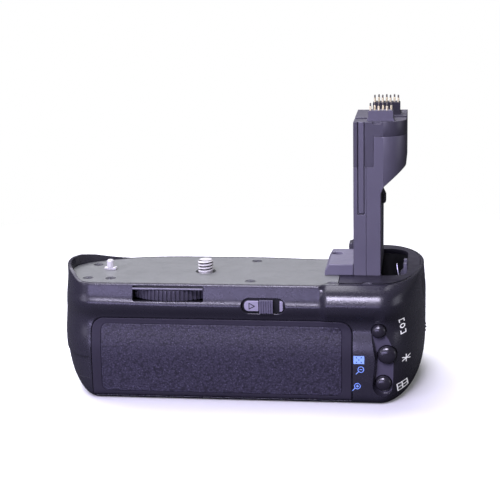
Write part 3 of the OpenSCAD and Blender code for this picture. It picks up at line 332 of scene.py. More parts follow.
def material(name, color, rough, grain=0.3, bump=0.2, depth=0.02, vary=0.05, metal=0.0, roughVary=0.08, leather=0.0,
             speckle=0.0, edge=0.0, specular=0.5, tint=None, paintedGlow=0.0, rootShade=None):
    mat = bpy.data.materials.new(name)
    mat.use_nodes = True
    tree = mat.node_tree
    nodes, link = tree.nodes, tree.links.new
    nodes.clear()

    def add(kind, **values):
        node = nodes.new(kind)
        for key, value in values.items():
            if hasattr(node, key):
                setattr(node, key, value)
            else:
                node.inputs[key].default_value = value
        return node

    out = add("ShaderNodeOutputMaterial")
    shader = add("ShaderNodeBsdfPrincipled", Metallic=metal)
    shader.inputs["Specular IOR Level"].default_value = specular
    link(shader.outputs[0], out.inputs[0])
    where = add("ShaderNodeTexCoord").outputs["Object"]

    def noise(scaleMm, detail):
        node = add("ShaderNodeTexNoise", Scale=1.0 / (scaleMm * mm), Detail=detail, Roughness=0.55)
        link(where, node.inputs["Vector"])
        return node.outputs["Fac"]

    def remap(source, low, high, fromLow=0.3, fromHigh=0.7):
        node = add("ShaderNodeMapRange")
        for key, value in (("From Min", fromLow), ("From Max", fromHigh), ("To Min", low), ("To Max", high)):
            node.inputs[key].default_value = value
        link(source, node.inputs["Value"])
        return node.outputs[0]

    def mixColors(factor, low, high, blend="MIX"):
        node = add("ShaderNodeMix", data_type="RGBA", blend_type=blend)
        sockets = node.inputs[0], colorSocket(node.inputs, "A"), colorSocket(node.inputs, "B")
        for socket, value in zip(sockets, (factor, low, high)):
            if isinstance(value, bpy.types.NodeSocket):
                link(value, socket)
            else:
                socket.default_value = value
        return colorSocket(node.outputs)

    dark = [c * (1 - vary) for c in color] + [1]
    light = [min(1, c * (1 + vary)) for c in tint or color] + [1]
    shade = mixColors(remap(noise(14, 4), 0, 1), dark, light)
    if speckle:
        fleck = [min(1, c * 2.6 + 0.02) for c in color] + [1]
        shade = mixColors(remap(noise(0.42, 1.0), 0, speckle, 0.60, 0.74), shade, fleck)
    # Painted shade in a thread's roots: darker nearer the axis
    if rootShade:  # axis x, y and the radii between which a dark root turns to the metal's own colour
        axis, plane, away = [add("ShaderNodeVectorMath", operation=kind) for kind in ("SUBTRACT", "MULTIPLY", "LENGTH")]
        link(where, axis.inputs[0])
        axis.inputs[1].default_value = (rootShade[0] * mm, rootShade[1] * mm, 0)
        link(axis.outputs[0], plane.inputs[0])
        plane.inputs[1].default_value = (1, 1, 0)
        link(plane.outputs[0], away.inputs[0])
        outward = remap(away.outputs["Value"], 0, 1, rootShade[2] * mm, rootShade[3] * mm)
        shade = mixColors(outward, (0.03, 0.025, 0.02, 1), shade)
    # Painted light: a glow, though the part is no lamp
    if paintedGlow:
        shader.inputs["Emission Color"].default_value = (*color, 1)
        shader.inputs["Emission Strength"].default_value = paintedGlow
    link(remap(noise(5, 3), rough - roughVary, rough + roughVary), shader.inputs["Roughness"])
    height = noise(grain, 2.0)
    if leather:
        cells = add("ShaderNodeTexVoronoi", Scale=1.0 / (leather * mm), feature="SMOOTH_F1", Smoothness=0.4)
        link(where, cells.inputs["Vector"])
        pebbles = add("ShaderNodeMath", operation="MULTIPLY_ADD")
        link(cells.outputs["Distance"], pebbles.inputs[0])
        pebbles.inputs[1].default_value = 1.4
        link(height, pebbles.inputs[2])
        height = pebbles.outputs[0]
        # Darker between the pebbles and lighter on their tops: painted shade of the pebbled relief
        shade = mixColors(1.0, shade, remap(cells.outputs["Distance"], 1.35, 0.45, 0.2, 0.8), "MULTIPLY")
    link(shade, shader.inputs["Base Color"])
    relief = add("ShaderNodeBump", Strength=bump, Distance=depth * mm)
    link(height, relief.inputs["Height"])
    if edge:
        rounding = add("ShaderNodeBevel", samples=4, Radius=edge * mm)
        link(rounding.outputs[0], relief.inputs["Normal"])
    link(relief.outputs[0], shader.inputs["Normal"])
    return mat


shellMat = material("moulded_shell", (0.026, 0.024, 0.034), 0.27, grain=0.6, bump=0.9, depth=0.04, vary=0.06,
                    roughVary=0.03, edge=0.18, tint=(0.020, 0.0185, 0.027), specular=0.95)
coverMat = material("moulded_cover", (0.036, 0.033, 0.046), 0.34, grain=0.45, bump=0.45, depth=0.03, vary=0.06, edge=0.3,
                    specular=0.08)
plateMat = material("plate_grain", (0.140, 0.145, 0.138), 0.46, grain=0.45, bump=0.5, depth=0.03, edge=0.2)
padMat = material("pad_plastic", (0.130, 0.123, 0.160), 0.42, grain=0.40, bump=0.4, depth=0.03, vary=0.06, edge=0.2)
rearPlateMat = material("rear_plate_grain", (0.019, 0.017, 0.027), 0.46, grain=0.45, bump=0.5, depth=0.03, vary=0.06,
                        edge=0.2, specular=0.3)
postMat = material("post_plastic", (0.098, 0.092, 0.120), 0.40, bump=0.25, edge=0.15, specular=0.9)
# A darker copy of the post's plastic for its cap: painted shade on the post's top
postCapShadeMat = material("post_cap_plastic", (0.056, 0.052, 0.070), 0.42, bump=0.25, edge=0.15, specular=0.9)
# Pebbled rubber, with painted shade between the pebbles
rubberMat = material("leather_rubber", (0.032, 0.0285, 0.047), 0.52, grain=0.25, bump=0.9, depth=0.10, vary=0.03,
                     roughVary=0.02, leather=0.75, speckle=0.9, specular=0.45)
controlMat = material("satin_control", (0.020, 0.018, 0.025), 0.22, grain=0.4, bump=0.15, vary=0.06, specular=1.0)
knurlMat = material("knurled_dial", (0.060, 0.056, 0.075), 0.30, grain=0.4, vary=0.08)
trimMat = material("trim_plastic", (0.036, 0.034, 0.042), 0.36, edge=0.15)
# A lighter copy of the shell's plastic for the floor round the thumb buttons: a painted reflection
recessSheenMat = material("recess_plastic", (0.075, 0.069, 0.098), 0.40, grain=0.4, bump=0.5, depth=0.03, vary=0.06)
hookMat = material("hook_plastic", (0.13, 0.125, 0.165), 0.40, edge=0.15)
connectorMat = material("connector_plastic", (0.028, 0.026, 0.034), 0.38, edge=0.15)
# Near-black for inner parts and the printed arrow, and also painted shade on the walls inside the dial's window and the
# slide's slot and on the slide's bed
blackAndShadeMat = material("inner_black", (0.008, 0.008, 0.010), 0.55, grain=0.5, bump=0.3, depth=0.03, vary=0.15)
# Silver of the slide's plate, also used for the end piece on the right as a painted highlight of the slot's shining end
# wall
slideSilverAndSheenMat = material("slide_silver", (0.34, 0.32, 0.40), 0.32, grain=0.25, depth=0.01, vary=0.06)
# Light colour of the bar in the dial's window: a painted highlight of the window's lit ledge
windowLipHighlightMat = material("window_bar", (0.22, 0.21, 0.26), 0.30, grain=0.25, depth=0.01)
knobMat = material("ribbed_knob", (0.13, 0.122, 0.165), 0.32, grain=0.25, depth=0.01)
steelMat = material("bright_steel", (0.80, 0.80, 0.82), 0.16, bump=0.1, depth=0.01, metal=1.0, roughVary=0.05)
screwMat = material("screw_steel", (0.20, 0.20, 0.22), 0.34, grain=0.2, depth=0.01, vary=0.10, metal=0.9, roughVary=0.06)
# Steel of the thread, with painted shade in its roots
threadMat = material("thread_steel", (0.86, 0.85, 0.80), 0.20, bump=0.1, depth=0.01, metal=0.30, roughVary=0.04,
                     rootShade=(-15.0, -12.0, 2.55, 2.95))
pinMat = material("plated_steel", (0.84, 0.83, 0.80), 0.20, bump=0.1, depth=0.01, metal=0.35)
goldMat = material("gold_contact", (0.88, 0.80, 0.52), 0.30, grain=0.2, bump=0.08, depth=0.01, vary=0.06, metal=0.45,
                   roughVary=0.05)
tipMat = material("contact_tip", (0.20, 0.185, 0.16), 0.35, grain=0.2, bump=0.1, depth=0.01, vary=0.15, metal=0.8,
                  roughVary=0.05)
boardMat = material("circuit_green", (0.02, 0.10, 0.045), 0.32, grain=0.5, bump=0.15, vary=0.12)
# Printed marks, which also glow: painted light that keeps the print bright
whiteInk = material("white_ink", (0.86, 0.86, 0.88), 0.5, grain=0.15, bump=0.1, depth=0.005, vary=0.03, paintedGlow=0.55)
blueInk = material("blue_ink", (0.22, 0.36, 0.86), 0.5, grain=0.15, bump=0.1, depth=0.005, vary=0.03, paintedGlow=0.45)
print("materials made")


# Housing shells
zTable = np.linspace(0, housing["plateZ"], 241)


def skinObject(name, inset=0.0, fine=2):
    h = housing
    foot = h["foot"] * (1 - np.cos(np.radians(np.linspace(0, 90, 9))))
    levels = np.concatenate([foot, np.linspace(5, 26, 11), np.linspace(27.2, ridge["z"], 24)])
    rings = [flatRing(outline(z, inset, fine), z) for z in levels]
    table = np.array([outline(z, inset, fine) for z in zTable])
    top = table[-1]
    rise = hornRise(top)
    edge = h["topEdge"]
    steps = [(f, 0.0, 0.0) for f in np.linspace(0, 1, 19)[1:-1] ** 1.3]
    rounds = [(1.0, edge * (1 - math.cos(t)), edge * (1 - math.sin(t))) for t in np.radians([0, 25, 50, 72, 90])]
    full = h["plateZ"] + rise
    for f, pull, drop in steps + rounds:
        z = mix(ridge["z"], full - (edge if f < 1 else drop), f)
        q = np.clip(np.minimum(z, h["plateZ"]) / h["plateZ"] * (len(zTable) - 1), 0, len(zTable) - 1.001)
        k = np.floor(q).astype(int)
        t = (q - k)[:, None]
        idx = np.arange(len(top))
        p = table[k, idx] * (1 - t) + table[k + 1, idx] * t
        if pull:
            d = np.roll(p, -1, 0) - np.roll(p, 1, 0)
            normal = np.column_stack([-d[:, 1], d[:, 0]]) / np.maximum(np.linalg.norm(d, axis=1), 1e-9)[:, None]
            p = p + normal * pull
        rings.append(np.column_stack([p, z]))
    return ringSolid(name, rings, (45.0, 0.0, h["plateZ"]))


def prism(name, points, z0, z1):
    return ringSolid(name, [flatRing(points, z) for z in (z0, z1)])


def innerSkin():
    h = housing
    levels = [h["wall"], 3, 5, 8, 12, 17, 22, 26] + list(np.linspace(27.5, ridge["z"], 8)) + [43, 44.5, h["rimZ"] + 0.2]
    return ringSolid("hollow", [flatRing(outline(z, h["wall"], 1), z) for z in levels])


# The four corner arcs of a rectangle, from the lower left one round, each with its own radius
def cornerArcs(x0, x1, z0, z1, radii, count):
    arcs = []
    for x, z, r, start in zip((x0, x1, x1, x0), (z0, z0, z1, z1), radii, (180, 270, 0, 90)):
        a = np.radians(np.linspace(start, start + 90, count))
        cx, cz = x + (r if x == x0 else -r), z + (r if z == z0 else -r)
        arcs.append(np.column_stack([cx + r * np.cos(a), cz + r * np.sin(a)]))
    return arcs


def roundRect(x0, x1, z0, z1, rLow, rHigh, inset=0.0, perSide=26, perCorner=8):
    upward = max(3, round(perSide * (z1 - z0) / (x1 - x0)) + 2)
    low, high = max(rLow - inset, 0.02), max(rHigh - inset, 0.02)
    arcs = cornerArcs(x0 + inset, x1 - inset, z0 + inset, z1 - inset, (low, low, high, high), perCorner)
    points = []
    for k, count in enumerate((perSide, upward, perSide, upward)):
        points += [arcs[k], np.linspace(arcs[k][-1], arcs[(k + 1) % 4][0], count + 1)[1:-1]]
    return np.concatenate(points)


# A cut from 3 mm behind the back face to endY, with a rounded lip
def lipCutter(name, shape, lip, endY):
    rings = []
    curve = [(lip * (1 - math.sin(a)), lip * (1 - math.cos(a))) for a in np.radians([0, 30, 60, 90])]
    for grow, down in [(lip, -3)] + curve:
        p = shape(-grow)
        rings.append(np.column_stack([p[:, 0], backY(p[:, 0], p[:, 1]) + down, p[:, 1]]))
    p = shape(0)
    rings.append(np.column_stack([p[:, 0], np.full(len(p), endY), p[:, 1]]))
    return ringSolid(name, rings)


coverSize = {"x0": -58.8, "x1": 46.1, "z0": 1.9, "z1": 33.6, "radius": 5.0, "low": 0.6, "gap": 0.25, "edge": 0.4}
window = {"x0": -41.2, "x1": -12.7, "z0": 41.2, "z1": 47.3, "radius": 0.5, "lip": 0.15}
slotSize = {"x": 11.2, "z": 39.8, "width": 17.4, "height": 6.1, "lip": 0.35}
thumbSize = {"spots": [(56.6, 30.3, 5.5), (59.9, 20.7, 7.3), (58.5, 8.9, 6.3)], "floorY": -33.6, "backing": 1.5,
             "gap": 0.3, "fillet": 1.0, "flangeBack": 3.6, "flange": 0.5, "flangeThick": 1.1, "proud": 2.4, "dome": 1.7,
             "recessX": 0.4, "recessZ": -0.6, "recessWide": 0.9, "flare": 3.4, "flareY": -7, "backingWide": 4.2}
notchSize = {"x0": -75.5, "x1": -59.8, "z0": 8.6, "z1": 17.8, "deep": 1.5, "shallow": 0.25, "leastY": -16}
# Openings of the finger controls: middle, way it faces, and radius, floor, top and sides of each bore, or a box
endBores = {"cutCollar": ((65.115, 34.164, 17), 48.7606, 8.15, -4.05, 6, 64),
            "cutFlange": ((65.115, 34.164, 17), 48.7606, 6.5, -7.5, 3, 64),
            "cutFunction": ((58.840, 37.344, 28.5), 80.341, 3.3, -9, 5, 48)}
wheelCut = {"at": (73.2435, 18.7476, 17), "turn": 12.4488, "half": 7.4, "halfWidth": 3.1, "floor": -6, "top": 8}


def direction(degrees):
    return Vector((math.cos(math.radians(degrees)), math.sin(math.radians(degrees)), 0))


def hullObject(name, points):
    bm = bmesh.new()
    for p in points:
        bm.verts.new([c * mm for c in p])
    result = bmesh.ops.convex_hull(bm, input=bm.verts)
    unused = [v for v in result["geom_interior"] + result["geom_unused"] if isinstance(v, bmesh.types.BMVert)]
    bmesh.ops.delete(bm, geom=list(set(unused)), context="VERTS")
    mesh = bpy.data.meshes.new(name)
    bm.to_mesh(mesh)
    bm.free()
    return linked(name, mesh)


def aroundSpot(x, z, y, radius, step=6, up=thumbSize["recessZ"]):
    return [(x + thumbSize["recessX"] + radius * math.cos(a), y, z + up + radius * math.sin(a))
            for a in np.radians(np.arange(0, 360, step))]


def recessHull(index):
    t = thumbSize
    points = []
    for x, z, d in t["spots"][index:index + 2]:
        base = d / 2 + t["recessWide"]
        profile = [(base - t["fillet"] * (1 - math.sin(a)), t["floorY"] - t["fillet"] * (1 - math.cos(a)))
                   for a in np.radians([0, 22, 45, 67, 90])]
        for radius, y in profile + [(d / 2 + t["flare"], t["floorY"] + t["flareY"])]:
            points += aroundSpot(x, z, y, radius)
    return hullObject("recess", points)


def backingBlock():
    t = thumbSize
    blocks = []
    for i in (0, 1):
        points = []
        for x, z, d in t["spots"][i:i + 2]:
            for y in (t["floorY"] + t["backing"], -50):
                points += aroundSpot(x, z, y, d / 2 + t["backingWide"])
        blocks.append(hullObject("backing", points))
    return boolean(boolean(*blocks, "UNION"), skinObject("backingSkin", 0.05, 1), "INTERSECT")


def endCutters():
    made = [lathe(name, [(radius, low), (radius, high)], sides, frameAt(at, direction(turn)))
            for name, (at, turn, radius, low, high, sides) in endBores.items()]
    w = wheelCut
    box = [(x, y, z) for x in (-w["half"], w["half"]) for y in (-w["halfWidth"], w["halfWidth"])
           for z in (w["floor"], w["top"])]
    m = Matrix.Rotation(math.radians(w["turn"]), 4, "Z") @ Matrix.Rotation(math.radians(90), 4, "Y")
    m.translation = Vector(w["at"]) * mm
    made.append(hullObject("cutWheel", box))
    made[-1].data.transform(m)
    return made


def endX(y, z):
    h = housing
    y, z = np.asarray(y, float), np.asarray(z, float)
    reach = np.where(y < h["rightY"], h["rightY"] - backY(h["endX"], z), frontY(h["endX"], z) - h["rightY"])
    return h["endX"] + (rightX(z) - h["endX"]) * np.sqrt(1 - ((y - h["rightY"]) / reach) ** 2)


def slab(name, shape, surface, thick, edge, rows, axis="y"):
    rounds = [(edge * (1 - math.sin(a)), edge * (1 - math.cos(a))) for a in np.radians([90, 67, 45, 22, 0])]
    p = shape(0)
    layers = [(p, surface(p[:, 0], p[:, 1]) + thick)]
    for inset, down in rounds + [(inset, 0) for inset in rows]:
        p = shape(inset)
        layers.append((p, surface(p[:, 0], p[:, 1]) + down))
    first = len(layers)
    for inset in rows:
        p = shape(inset)
        layers.append((p, surface(p[:, 0], p[:, 1]) + thick))
    count = len(p)
    verts = np.concatenate([np.column_stack([p[:, 0], y, p[:, 1]]) for p, y in layers])
    faces = ringFaces(count, first)
    chain = [0] + list(range(first, len(layers)))
    for a, b in zip(chain[:-1], chain[1:]):
        for i in range(count):
            k = (i + 1) % count
            faces.append((a * count + k, a * count + i, b * count + i, b * count + k))
    faces.append(tuple((first - 1) * count + i for i in range(count)))
    faces.append(tuple((len(layers) - 1) * count + i for i in range(count))[::-1])
    if axis == "x":
        verts = np.column_stack([verts[:, 1], verts[:, 0], verts[:, 2]])
    return newObject(name, verts, faces)


def coverShape(inset):
    c = coverSize
    return roundRect(c["x0"], c["x1"], c["z0"], c["z1"], c["low"], c["radius"], inset, 60)


def openingShape(inset):
    c = coverSize
    g = c["gap"]
    return roundRect(c["x0"] - g, c["x1"] + g, c["z0"] - g, c["z1"] + g, c["low"] + g, c["radius"] + g, inset, 60)


print("shells")
body = skinObject("rear_shell", 0.0, 2)
boolean(body, innerSkin())
h = housing
boolean(body, prism("topCut", outline(h["plateZ"], h["rim"], 2), h["rimZ"], h["plateZ"] + 9))
for inset, low, high in ((3.0, -1, 1.2), (4.5, 1.19, 3.4)):  # the base plate's ledge and the opening above it
    boolean(body, prism("baseCut", outline(0, inset, 1), low, high))
front = body.copy()
front.data = body.data.copy()
front.name = "front_shell"
scene.collection.objects.link(front)
boolean(body, lipCutter("door", openingShape, h["lip"], -8))


def windowShape(inset):
    w = window
    return roundRect(w["x0"], w["x1"], w["z0"], w["z1"], w["radius"], w["radius"], inset, 20, 5)


def slotShape(inset):
    x, z, half, high = slotSize["x"], slotSize["z"], slotSize["width"] / 2, slotSize["height"] / 2
    return roundRect(x - half, x + half, z - high, z + high, high - 0.01, high - 0.01, inset, 12, 12)


boolean(body, lipCutter("window", windowShape, window["lip"], -22))
boolean(body, lipCutter("slot", slotShape, slotSize["lip"], -26))


def notchCutter():
    n = notchSize
    rows = []
    for z in np.linspace(n["z0"], n["z1"], 9):
        t = (z - n["z0"]) / (n["z1"] - n["z0"])
        deep = mix(n["shallow"], n["deep"], t)
        xs = np.linspace(n["x0"], n["x1"], 26)
        inner = np.clip((-h["endX"] - xs) / (-h["endX"] - leftX(z)), 0, 1)
        turnedY = h["leftY"] + (backY(-h["endX"], z) - h["leftY"]) * np.sqrt(1 - inner ** 2)
        ys = np.minimum(np.where(xs < -h["endX"], turnedY, backY(xs, z)) + deep, n["leastY"])
        rows.append(np.array([(x, -50, z) for x in xs] + [(x, y, z) for x, y in zip(xs, ys)][::-1]))
    return ringSolid("notch", rows)


boolean(body, notchCutter())
boolean(body, backingBlock(), "UNION")
x, z, d = thumbSize["spots"][0]
scoop = []
for radius, y, up in ((3.2, -34.0, 0.4), (4.6, -38.4, 6.6), (3.4, -39.5, 0.4)):  # the hollow above the upper button
    scoop += aroundSpot(x, z, y, radius, 10, up)
boolean(body, hullObject("scoop", scoop))
for i in (0, 1):
    boolean(body, recessHull(i))


def roundHole(x, z, radius, out):
    return lathe("hole", [(radius, -1), (radius, 60)], 56, frameAt((x, 0, z), (0, out, 0)))


def halfSpace(y0, y1):
    corners = [(x, y, z) for x in (-90, 90) for y in (y0, y1) for z in (-5, 90)]
    return newObject("half", corners, [(0, 1, 3, 2), (4, 6, 7, 5), (0, 4, 5, 1), (2, 3, 7, 6), (0, 2, 6, 4), (1, 5, 7, 3)])


for x, z, d in thumbSize["spots"]:
    boolean(body, roundHole(x, z, d / 2 + thumbSize["gap"], -1))
boolean(body, halfSpace(h["splitY"], 90))
boolean(front, halfSpace(-90, h["splitY"] + 0.05))
for shell in (body, front):
    for cutter in endCutters():
        boolean(shell, cutter)
trimSize = {"y0": -7.0, "y1": 21.5, "z0": 36.0, "z1": 45.3, "thick": 0.8, "radius": 0.3}


def trimShape(inset):
    t = trimSize
    return roundRect(t["y0"], t["y1"], t["z0"], t["z1"], t["radius"], t["radius"], inset, 24, 4)


for shell in (body, front):
    pocket = slab("pocket", lambda i: trimShape(i - 0.05), lambda y, z: -(endX(y, z) + 1), 1.05 + trimSize["thick"], 0.05,
                  [1, 2, 3], axis="x")
    boolean(shell, mirrored(pocket, (1, 0, 0)))
place(smoothShade(body, 30), "rear_housing", shellMat)
body.data.materials.append(blackAndShadeMat)
body.data.materials.append(recessSheenMat)
# Painted shade: near-black inside the dial's window and the slide's slot. Painted reflection: a lighter floor round the
# thumb buttons
for face in body.data.polygons:
    x, y, z = face.center / mm
    inWindow = window["x0"] < x + 0.3 and x - 0.3 < window["x1"] and window["z0"] < z + 0.3 and z - 0.3 < window["z1"]
    inSlot = abs(x - slotSize["x"]) < slotSize["width"] / 2 + 0.3 \
        and abs(z - slotSize["z"]) < slotSize["height"] / 2 + 0.3
    if (inWindow or inSlot) and float(backY(x, z)) + 0.3 < y < -20:
        face.material_index = 1
    # Painted reflection: the floor round the thumb buttons is lighter than the shell
    elif x > 52 and 4 < z < 28 and abs(y - thumbSize["floorY"]) < 0.4 and face.normal.y < -0.95:
        face.material_index = 2

switchHole = {"x": 46.5, "z": 12, "radius": 5.5, "out": 1}
grip = {"x0": -18.0, "x1": 38.0, "z0": 5.5, "z1": 29.5, "radius": 6.0, "thick": 0.9}


def gripShape(inset):
    return roundRect(grip["x0"], grip["x1"], grip["z0"], grip["z1"], grip["radius"], grip["radius"], inset, 30)


def mirroredFront(x, z):
    return -frontY(x, z)


pocket = slab("gripPocket", lambda i: gripShape(i - 0.05), lambda x, z: mirroredFront(x, z) - 2, 2 + grip["thick"], 0.05,
              [3, 6, 9, 11])
boolean(front, mirrored(pocket, (0, 1, 0)))
boolean(front, roundHole(**switchHole))
place(smoothShade(front, 30), "front_housing", shellMat)
gripRubber = slab("front_grip_fine", gripShape, mirroredFront, grip["thick"] - 0.05, 0.3, [1, 2, 3.5, 5, 7, 9, 11])
place(smoothShade(mirrored(gripRubber, (0, 1, 0))), "front_grip_rubber", rubberMat)
trim = slab("end_trim_fine", trimShape, lambda y, z: -endX(y, z), trimSize["thick"], 0.2, [0.6, 1.4, 2.4, 3.6])
trim.data.transform(Matrix.Rotation(math.radians(90), 4, "Z"))
fixNormals(trim.data)
place(smoothShade(trim), "end_trim", trimMat)

# Magazine cover and its rubber
cover = slab("magazine_cover_fine", coverShape, backY, h["wall"], coverSize["edge"],
             [0.9, 1.6, 2.4, 3.4, 4.6, 6, 7.5, 9, 10.5, 12, 13.5, 15])
rubber = {"inset": 3.9, "z0": 3.8, "z1": 31.4, "radius": 2.6, "proud": 0.1, "depth": 0.9}


def rubberShape(inset):
    r = rubber
    return roundRect(coverSize["x0"] + r["inset"], coverSize["x1"] - r["inset"], r["z0"], r["z1"], r["radius"], r["radius"],
                     inset, 60)


pocket = slab("coverPocket", lambda i: rubberShape(i - 0.06), lambda x, z: backY(x, z) - 2, 2 + rubber["depth"], 0.05,
              [3, 6, 9, 12, 13])
place(smoothShade(boolean(cover, pocket), 30), "magazine_cover", coverMat)
panel = slab("magazine_rubber_fine", rubberShape, lambda x, z: backY(x, z) - rubber["proud"],
             rubber["depth"] + 0.05, 0.35, [0.6, 1.2, 2, 3, 4, 5.2, 6.4, 7.6, 8.8, 10, 11.2, 12.4, 13.2])
place(smoothShade(panel), "magazine_rubber", rubberMat)
print("cover and rubber")

# Nodes that keep the CAD's form, with rounded edges
finished = {"top_plate": (plateMat, 0.15), "post_base_plate": (rearPlateMat, 0.15), "cover_well": (blackAndShadeMat, 0.2),
            "base_plate": (blackAndShadeMat, 0.15), "tripod_socket": (steelMat, 0.15), "raised_pad": (padMat, 0.35),
            "post_left_shell": (postMat, 0.12),
            "post_right_shell": (postMat, 0.12), "post_cap": (postCapShadeMat, 0.12), "post_guide_rail": (postMat, 0.12),
            "post_latch": (controlMat, 0.3), "post_board": (boardMat, 0.05), "post_gusset": (trimMat, 0.25),
            "back_connector": (postMat, 0.12), "front_connector": (connectorMat, 0.12), "attachment_dial": (knurlMat, 0.12),
            "dial_post": (steelMat, 0.15), "screw_pinion": (goldMat, 0.08), "screw_bush": (steelMat, 0.15),
            "locating_pin": (pinMat, 0.12), "magazine_tray": (blackAndShadeMat, 0.2), "cell_plates": (goldMat, 0.04),
            "cell_springs": (steelMat, 0.04), "tray_terminals": (goldMat, 0.1), "magazine_bay": (blackAndShadeMat, 0.2),
            "bay_terminals": (goldMat, 0.1), "release_knob": (knobMat, 0.08),
            "release_bar": (controlMat, 0.15), "button_board": (boardMat, 0.05), "shutter_collar": (trimMat, 0.12),
            "shutter_button": (controlMat, 0.15), "function_button": (controlMat, 0.15), "control_dial": (knurlMat, 0.15),
            "control_dial_axle": (steelMat, 0.15), "power_switch": (trimMat, 0.2), "main_board": (boardMat, 0.05),
            "base_screws": (screwMat, 0.06), "top_screws": (screwMat, 0.05), "pad_screw": (screwMat, 0.05)}
for node, (mat, width) in finished.items():
    refined(node, mat, width)
print("finished nodes")

# A light bar near the top of the dial's window stands for its lit ledge, its light colour a painted highlight, and what
# shows in the storage well: a leaf spring and two hooked ribs
windowBar = {"y": -34.6, "z": 46.05, "deep": 0.9, "tall": 0.5}


def barShape(inset):
    b = windowBar
    return roundRect(window["x0"] + 0.05, window["x1"] - 0.05, b["z"], b["z"] + b["tall"], 0.1, 0.1, inset, 24, 3)


bar = slab("window_bar", barShape, lambda x, z: np.full(np.shape(x), windowBar["y"]), windowBar["deep"], 0.12,
           [0.16, 0.2])
paint(smoothShade(bar), windowLipHighlightMat)
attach(bar, "root")
well = {"springX": 60.6, "springY": -9.5, "wide": 9.0, "floorZ": 31.2, "leafX": 65.3, "thick": 0.4, "leanX": 2.6,
        "top": 50.4, "foot": 0.5, "ribX0": 64.05, "ribX1": 66.93, "ribTop": 49.6, "ribs": (-2.0, 4.5), "ribWide": 2.4}


def extruded(name, outlineXZ, y0, y1):
    return ringSolid(name, [np.array([(x, y, z) for x, z in outlineXZ]) for y in (y0, y1)])


def leafSpring():
    rows = []
    for t in np.linspace(0, 1, 15):
        z = mix(well["floorZ"], well["top"], t)
        x = well["leafX"] - well["leanX"] * ease(t) + 0.5 * math.sin(t * math.pi)
        half = mix(well["wide"] / 2, 0.7, ease((t - 0.25) / 0.75))
        middle = well["springY"] + well["wide"] / 2
        rows.append(np.array([(x, middle - half, z), (x + well["thick"], middle - half, z),
                              (x + well["thick"], middle + half, z), (x, middle + half, z)]))
    return ringSolid("well_spring_leaf", rows)


footTop = well["floorZ"] + well["foot"]
foot = extruded("well_spring_foot", [(well["springX"], well["floorZ"]), (well["leafX"] + 0.4, well["floorZ"]),
                                     (well["leafX"] + 0.4, footTop), (well["springX"], footTop)],
                well["springY"], well["springY"] + well["wide"])
spring = boolean(leafSpring(), foot, "UNION")
place(smoothShade(bevelled(spring, 0.05)), "well_spring_clip", steelMat)
x0, x1, top = well["ribX0"], well["ribX1"], well["ribTop"]
ribShape = [(x0, 37.0), (x1, 37.0), (x1, top), (x1 - 1.5, top), (x1 - 1.7, 45.4), (x0, 44.2)]
hooks = boolean(*[extruded("hook_rib", ribShape, y, y + well["ribWide"]) for y in well["ribs"]], "UNION")
hooks.name = "cover_hooks_fine"
place(smoothShade(bevelled(hooks, 0.25)), "cover_hooks", hookMat)


# Release slide: a near-black bed in the slot, painted shade in the slot's depth, the silvery plate with its arrow, and
# a silver end on the right, a painted highlight standing for the slot's shining end wall
# Plates: left, right, height, front and back behind the slot's rim, corner radii left and right, rounding
slotPlates = {"release_bed": (2.56, 19.84, 5.98, 1.7, 2.5, 2.98, 2.98, 0.1),
              "release_plate_fine": (3.6, 9.4, 4.2, 0.9, 1.8, 1.9, 0.3, 0.25),
              "release_end": (17.75, 19.2, 4.3, 0.6, 1.8, 0.04, 0.9, 0.4)}
arrowMark = {"x": 6.6, "z": 39.8, "size": 1.2, "stroke": 0.34, "lift": 0.04}
slotY = float(backY(slotSize["x"], slotSize["z"]))


def slotPlate(name, mat):
    x0, x1, height, y0, y1, rLeft, rRight, edge = slotPlates[name]
    rings = []
    curve = [(edge * (1 - math.sin(a)), y0 + edge * (1 - math.cos(a))) for a in np.radians([90, 65, 40, 20, 0])]
    for inset, y in [(0, y1)] + curve:
        left, right, half = max(rLeft - inset, 0.02), max(rRight - inset, 0.02), height / 2 - inset
        p = np.concatenate(cornerArcs(x0 + inset, x1 - inset, slotSize["z"] - half, slotSize["z"] + half,
                                      (left, right, right, left), 10))
        rings.append(np.column_stack([p[:, 0], np.full(len(p), slotY + y), p[:, 1]]))
    return place(smoothShade(ringSolid(name, rings), 35), "release_plate", mat, replace=False)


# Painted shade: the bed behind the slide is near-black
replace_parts(slotPlate("release_bed", blackAndShadeMat), "release_plate")
slotPlate("release_plate_fine", slideSilverAndSheenMat)
slotPlate("release_end", slideSilverAndSheenMat)


# Thumb buttons
def thumbButton(node, spot):
    x, z, d = spot
    t = thumbSize
    radius, wide, deep = d / 2, d / 2 + t["flange"], t["flangeBack"]
    foot, rim = -deep - t["flangeThick"], t["backing"] + t["proud"] - t["dome"]
    profile = [(0.001, foot), (wide, foot), (wide, -deep), (radius, -deep), (radius, rim)]
    for a in np.radians(np.linspace(6, 89, 22)):
        profile.append((radius * math.cos(a) ** 0.85, rim + (t["dome"] + 0.08) * math.sin(a)))
    obj = lathe(node + "_fine", profile, 72, frameAt((x, t["floorY"] + t["backing"], z), (0, -1, 0)))
    place(smoothShade(obj, 40), node, controlMat)


for node, spot in zip(("upper_button", "middle_button", "lower_button"), thumbSize["spots"]):
    thumbButton(node, spot)


# Camera screw with its quarter inch thread
screwSize = {"x": -15.0, "y": -12.0, "radius": 3.175, "shaft": 2.875, "pitch": 1.27, "depth": 0.72,
             "z0": 42.7, "threadZ": 48.2, "top": 53.0, "chamfer": 0.6}


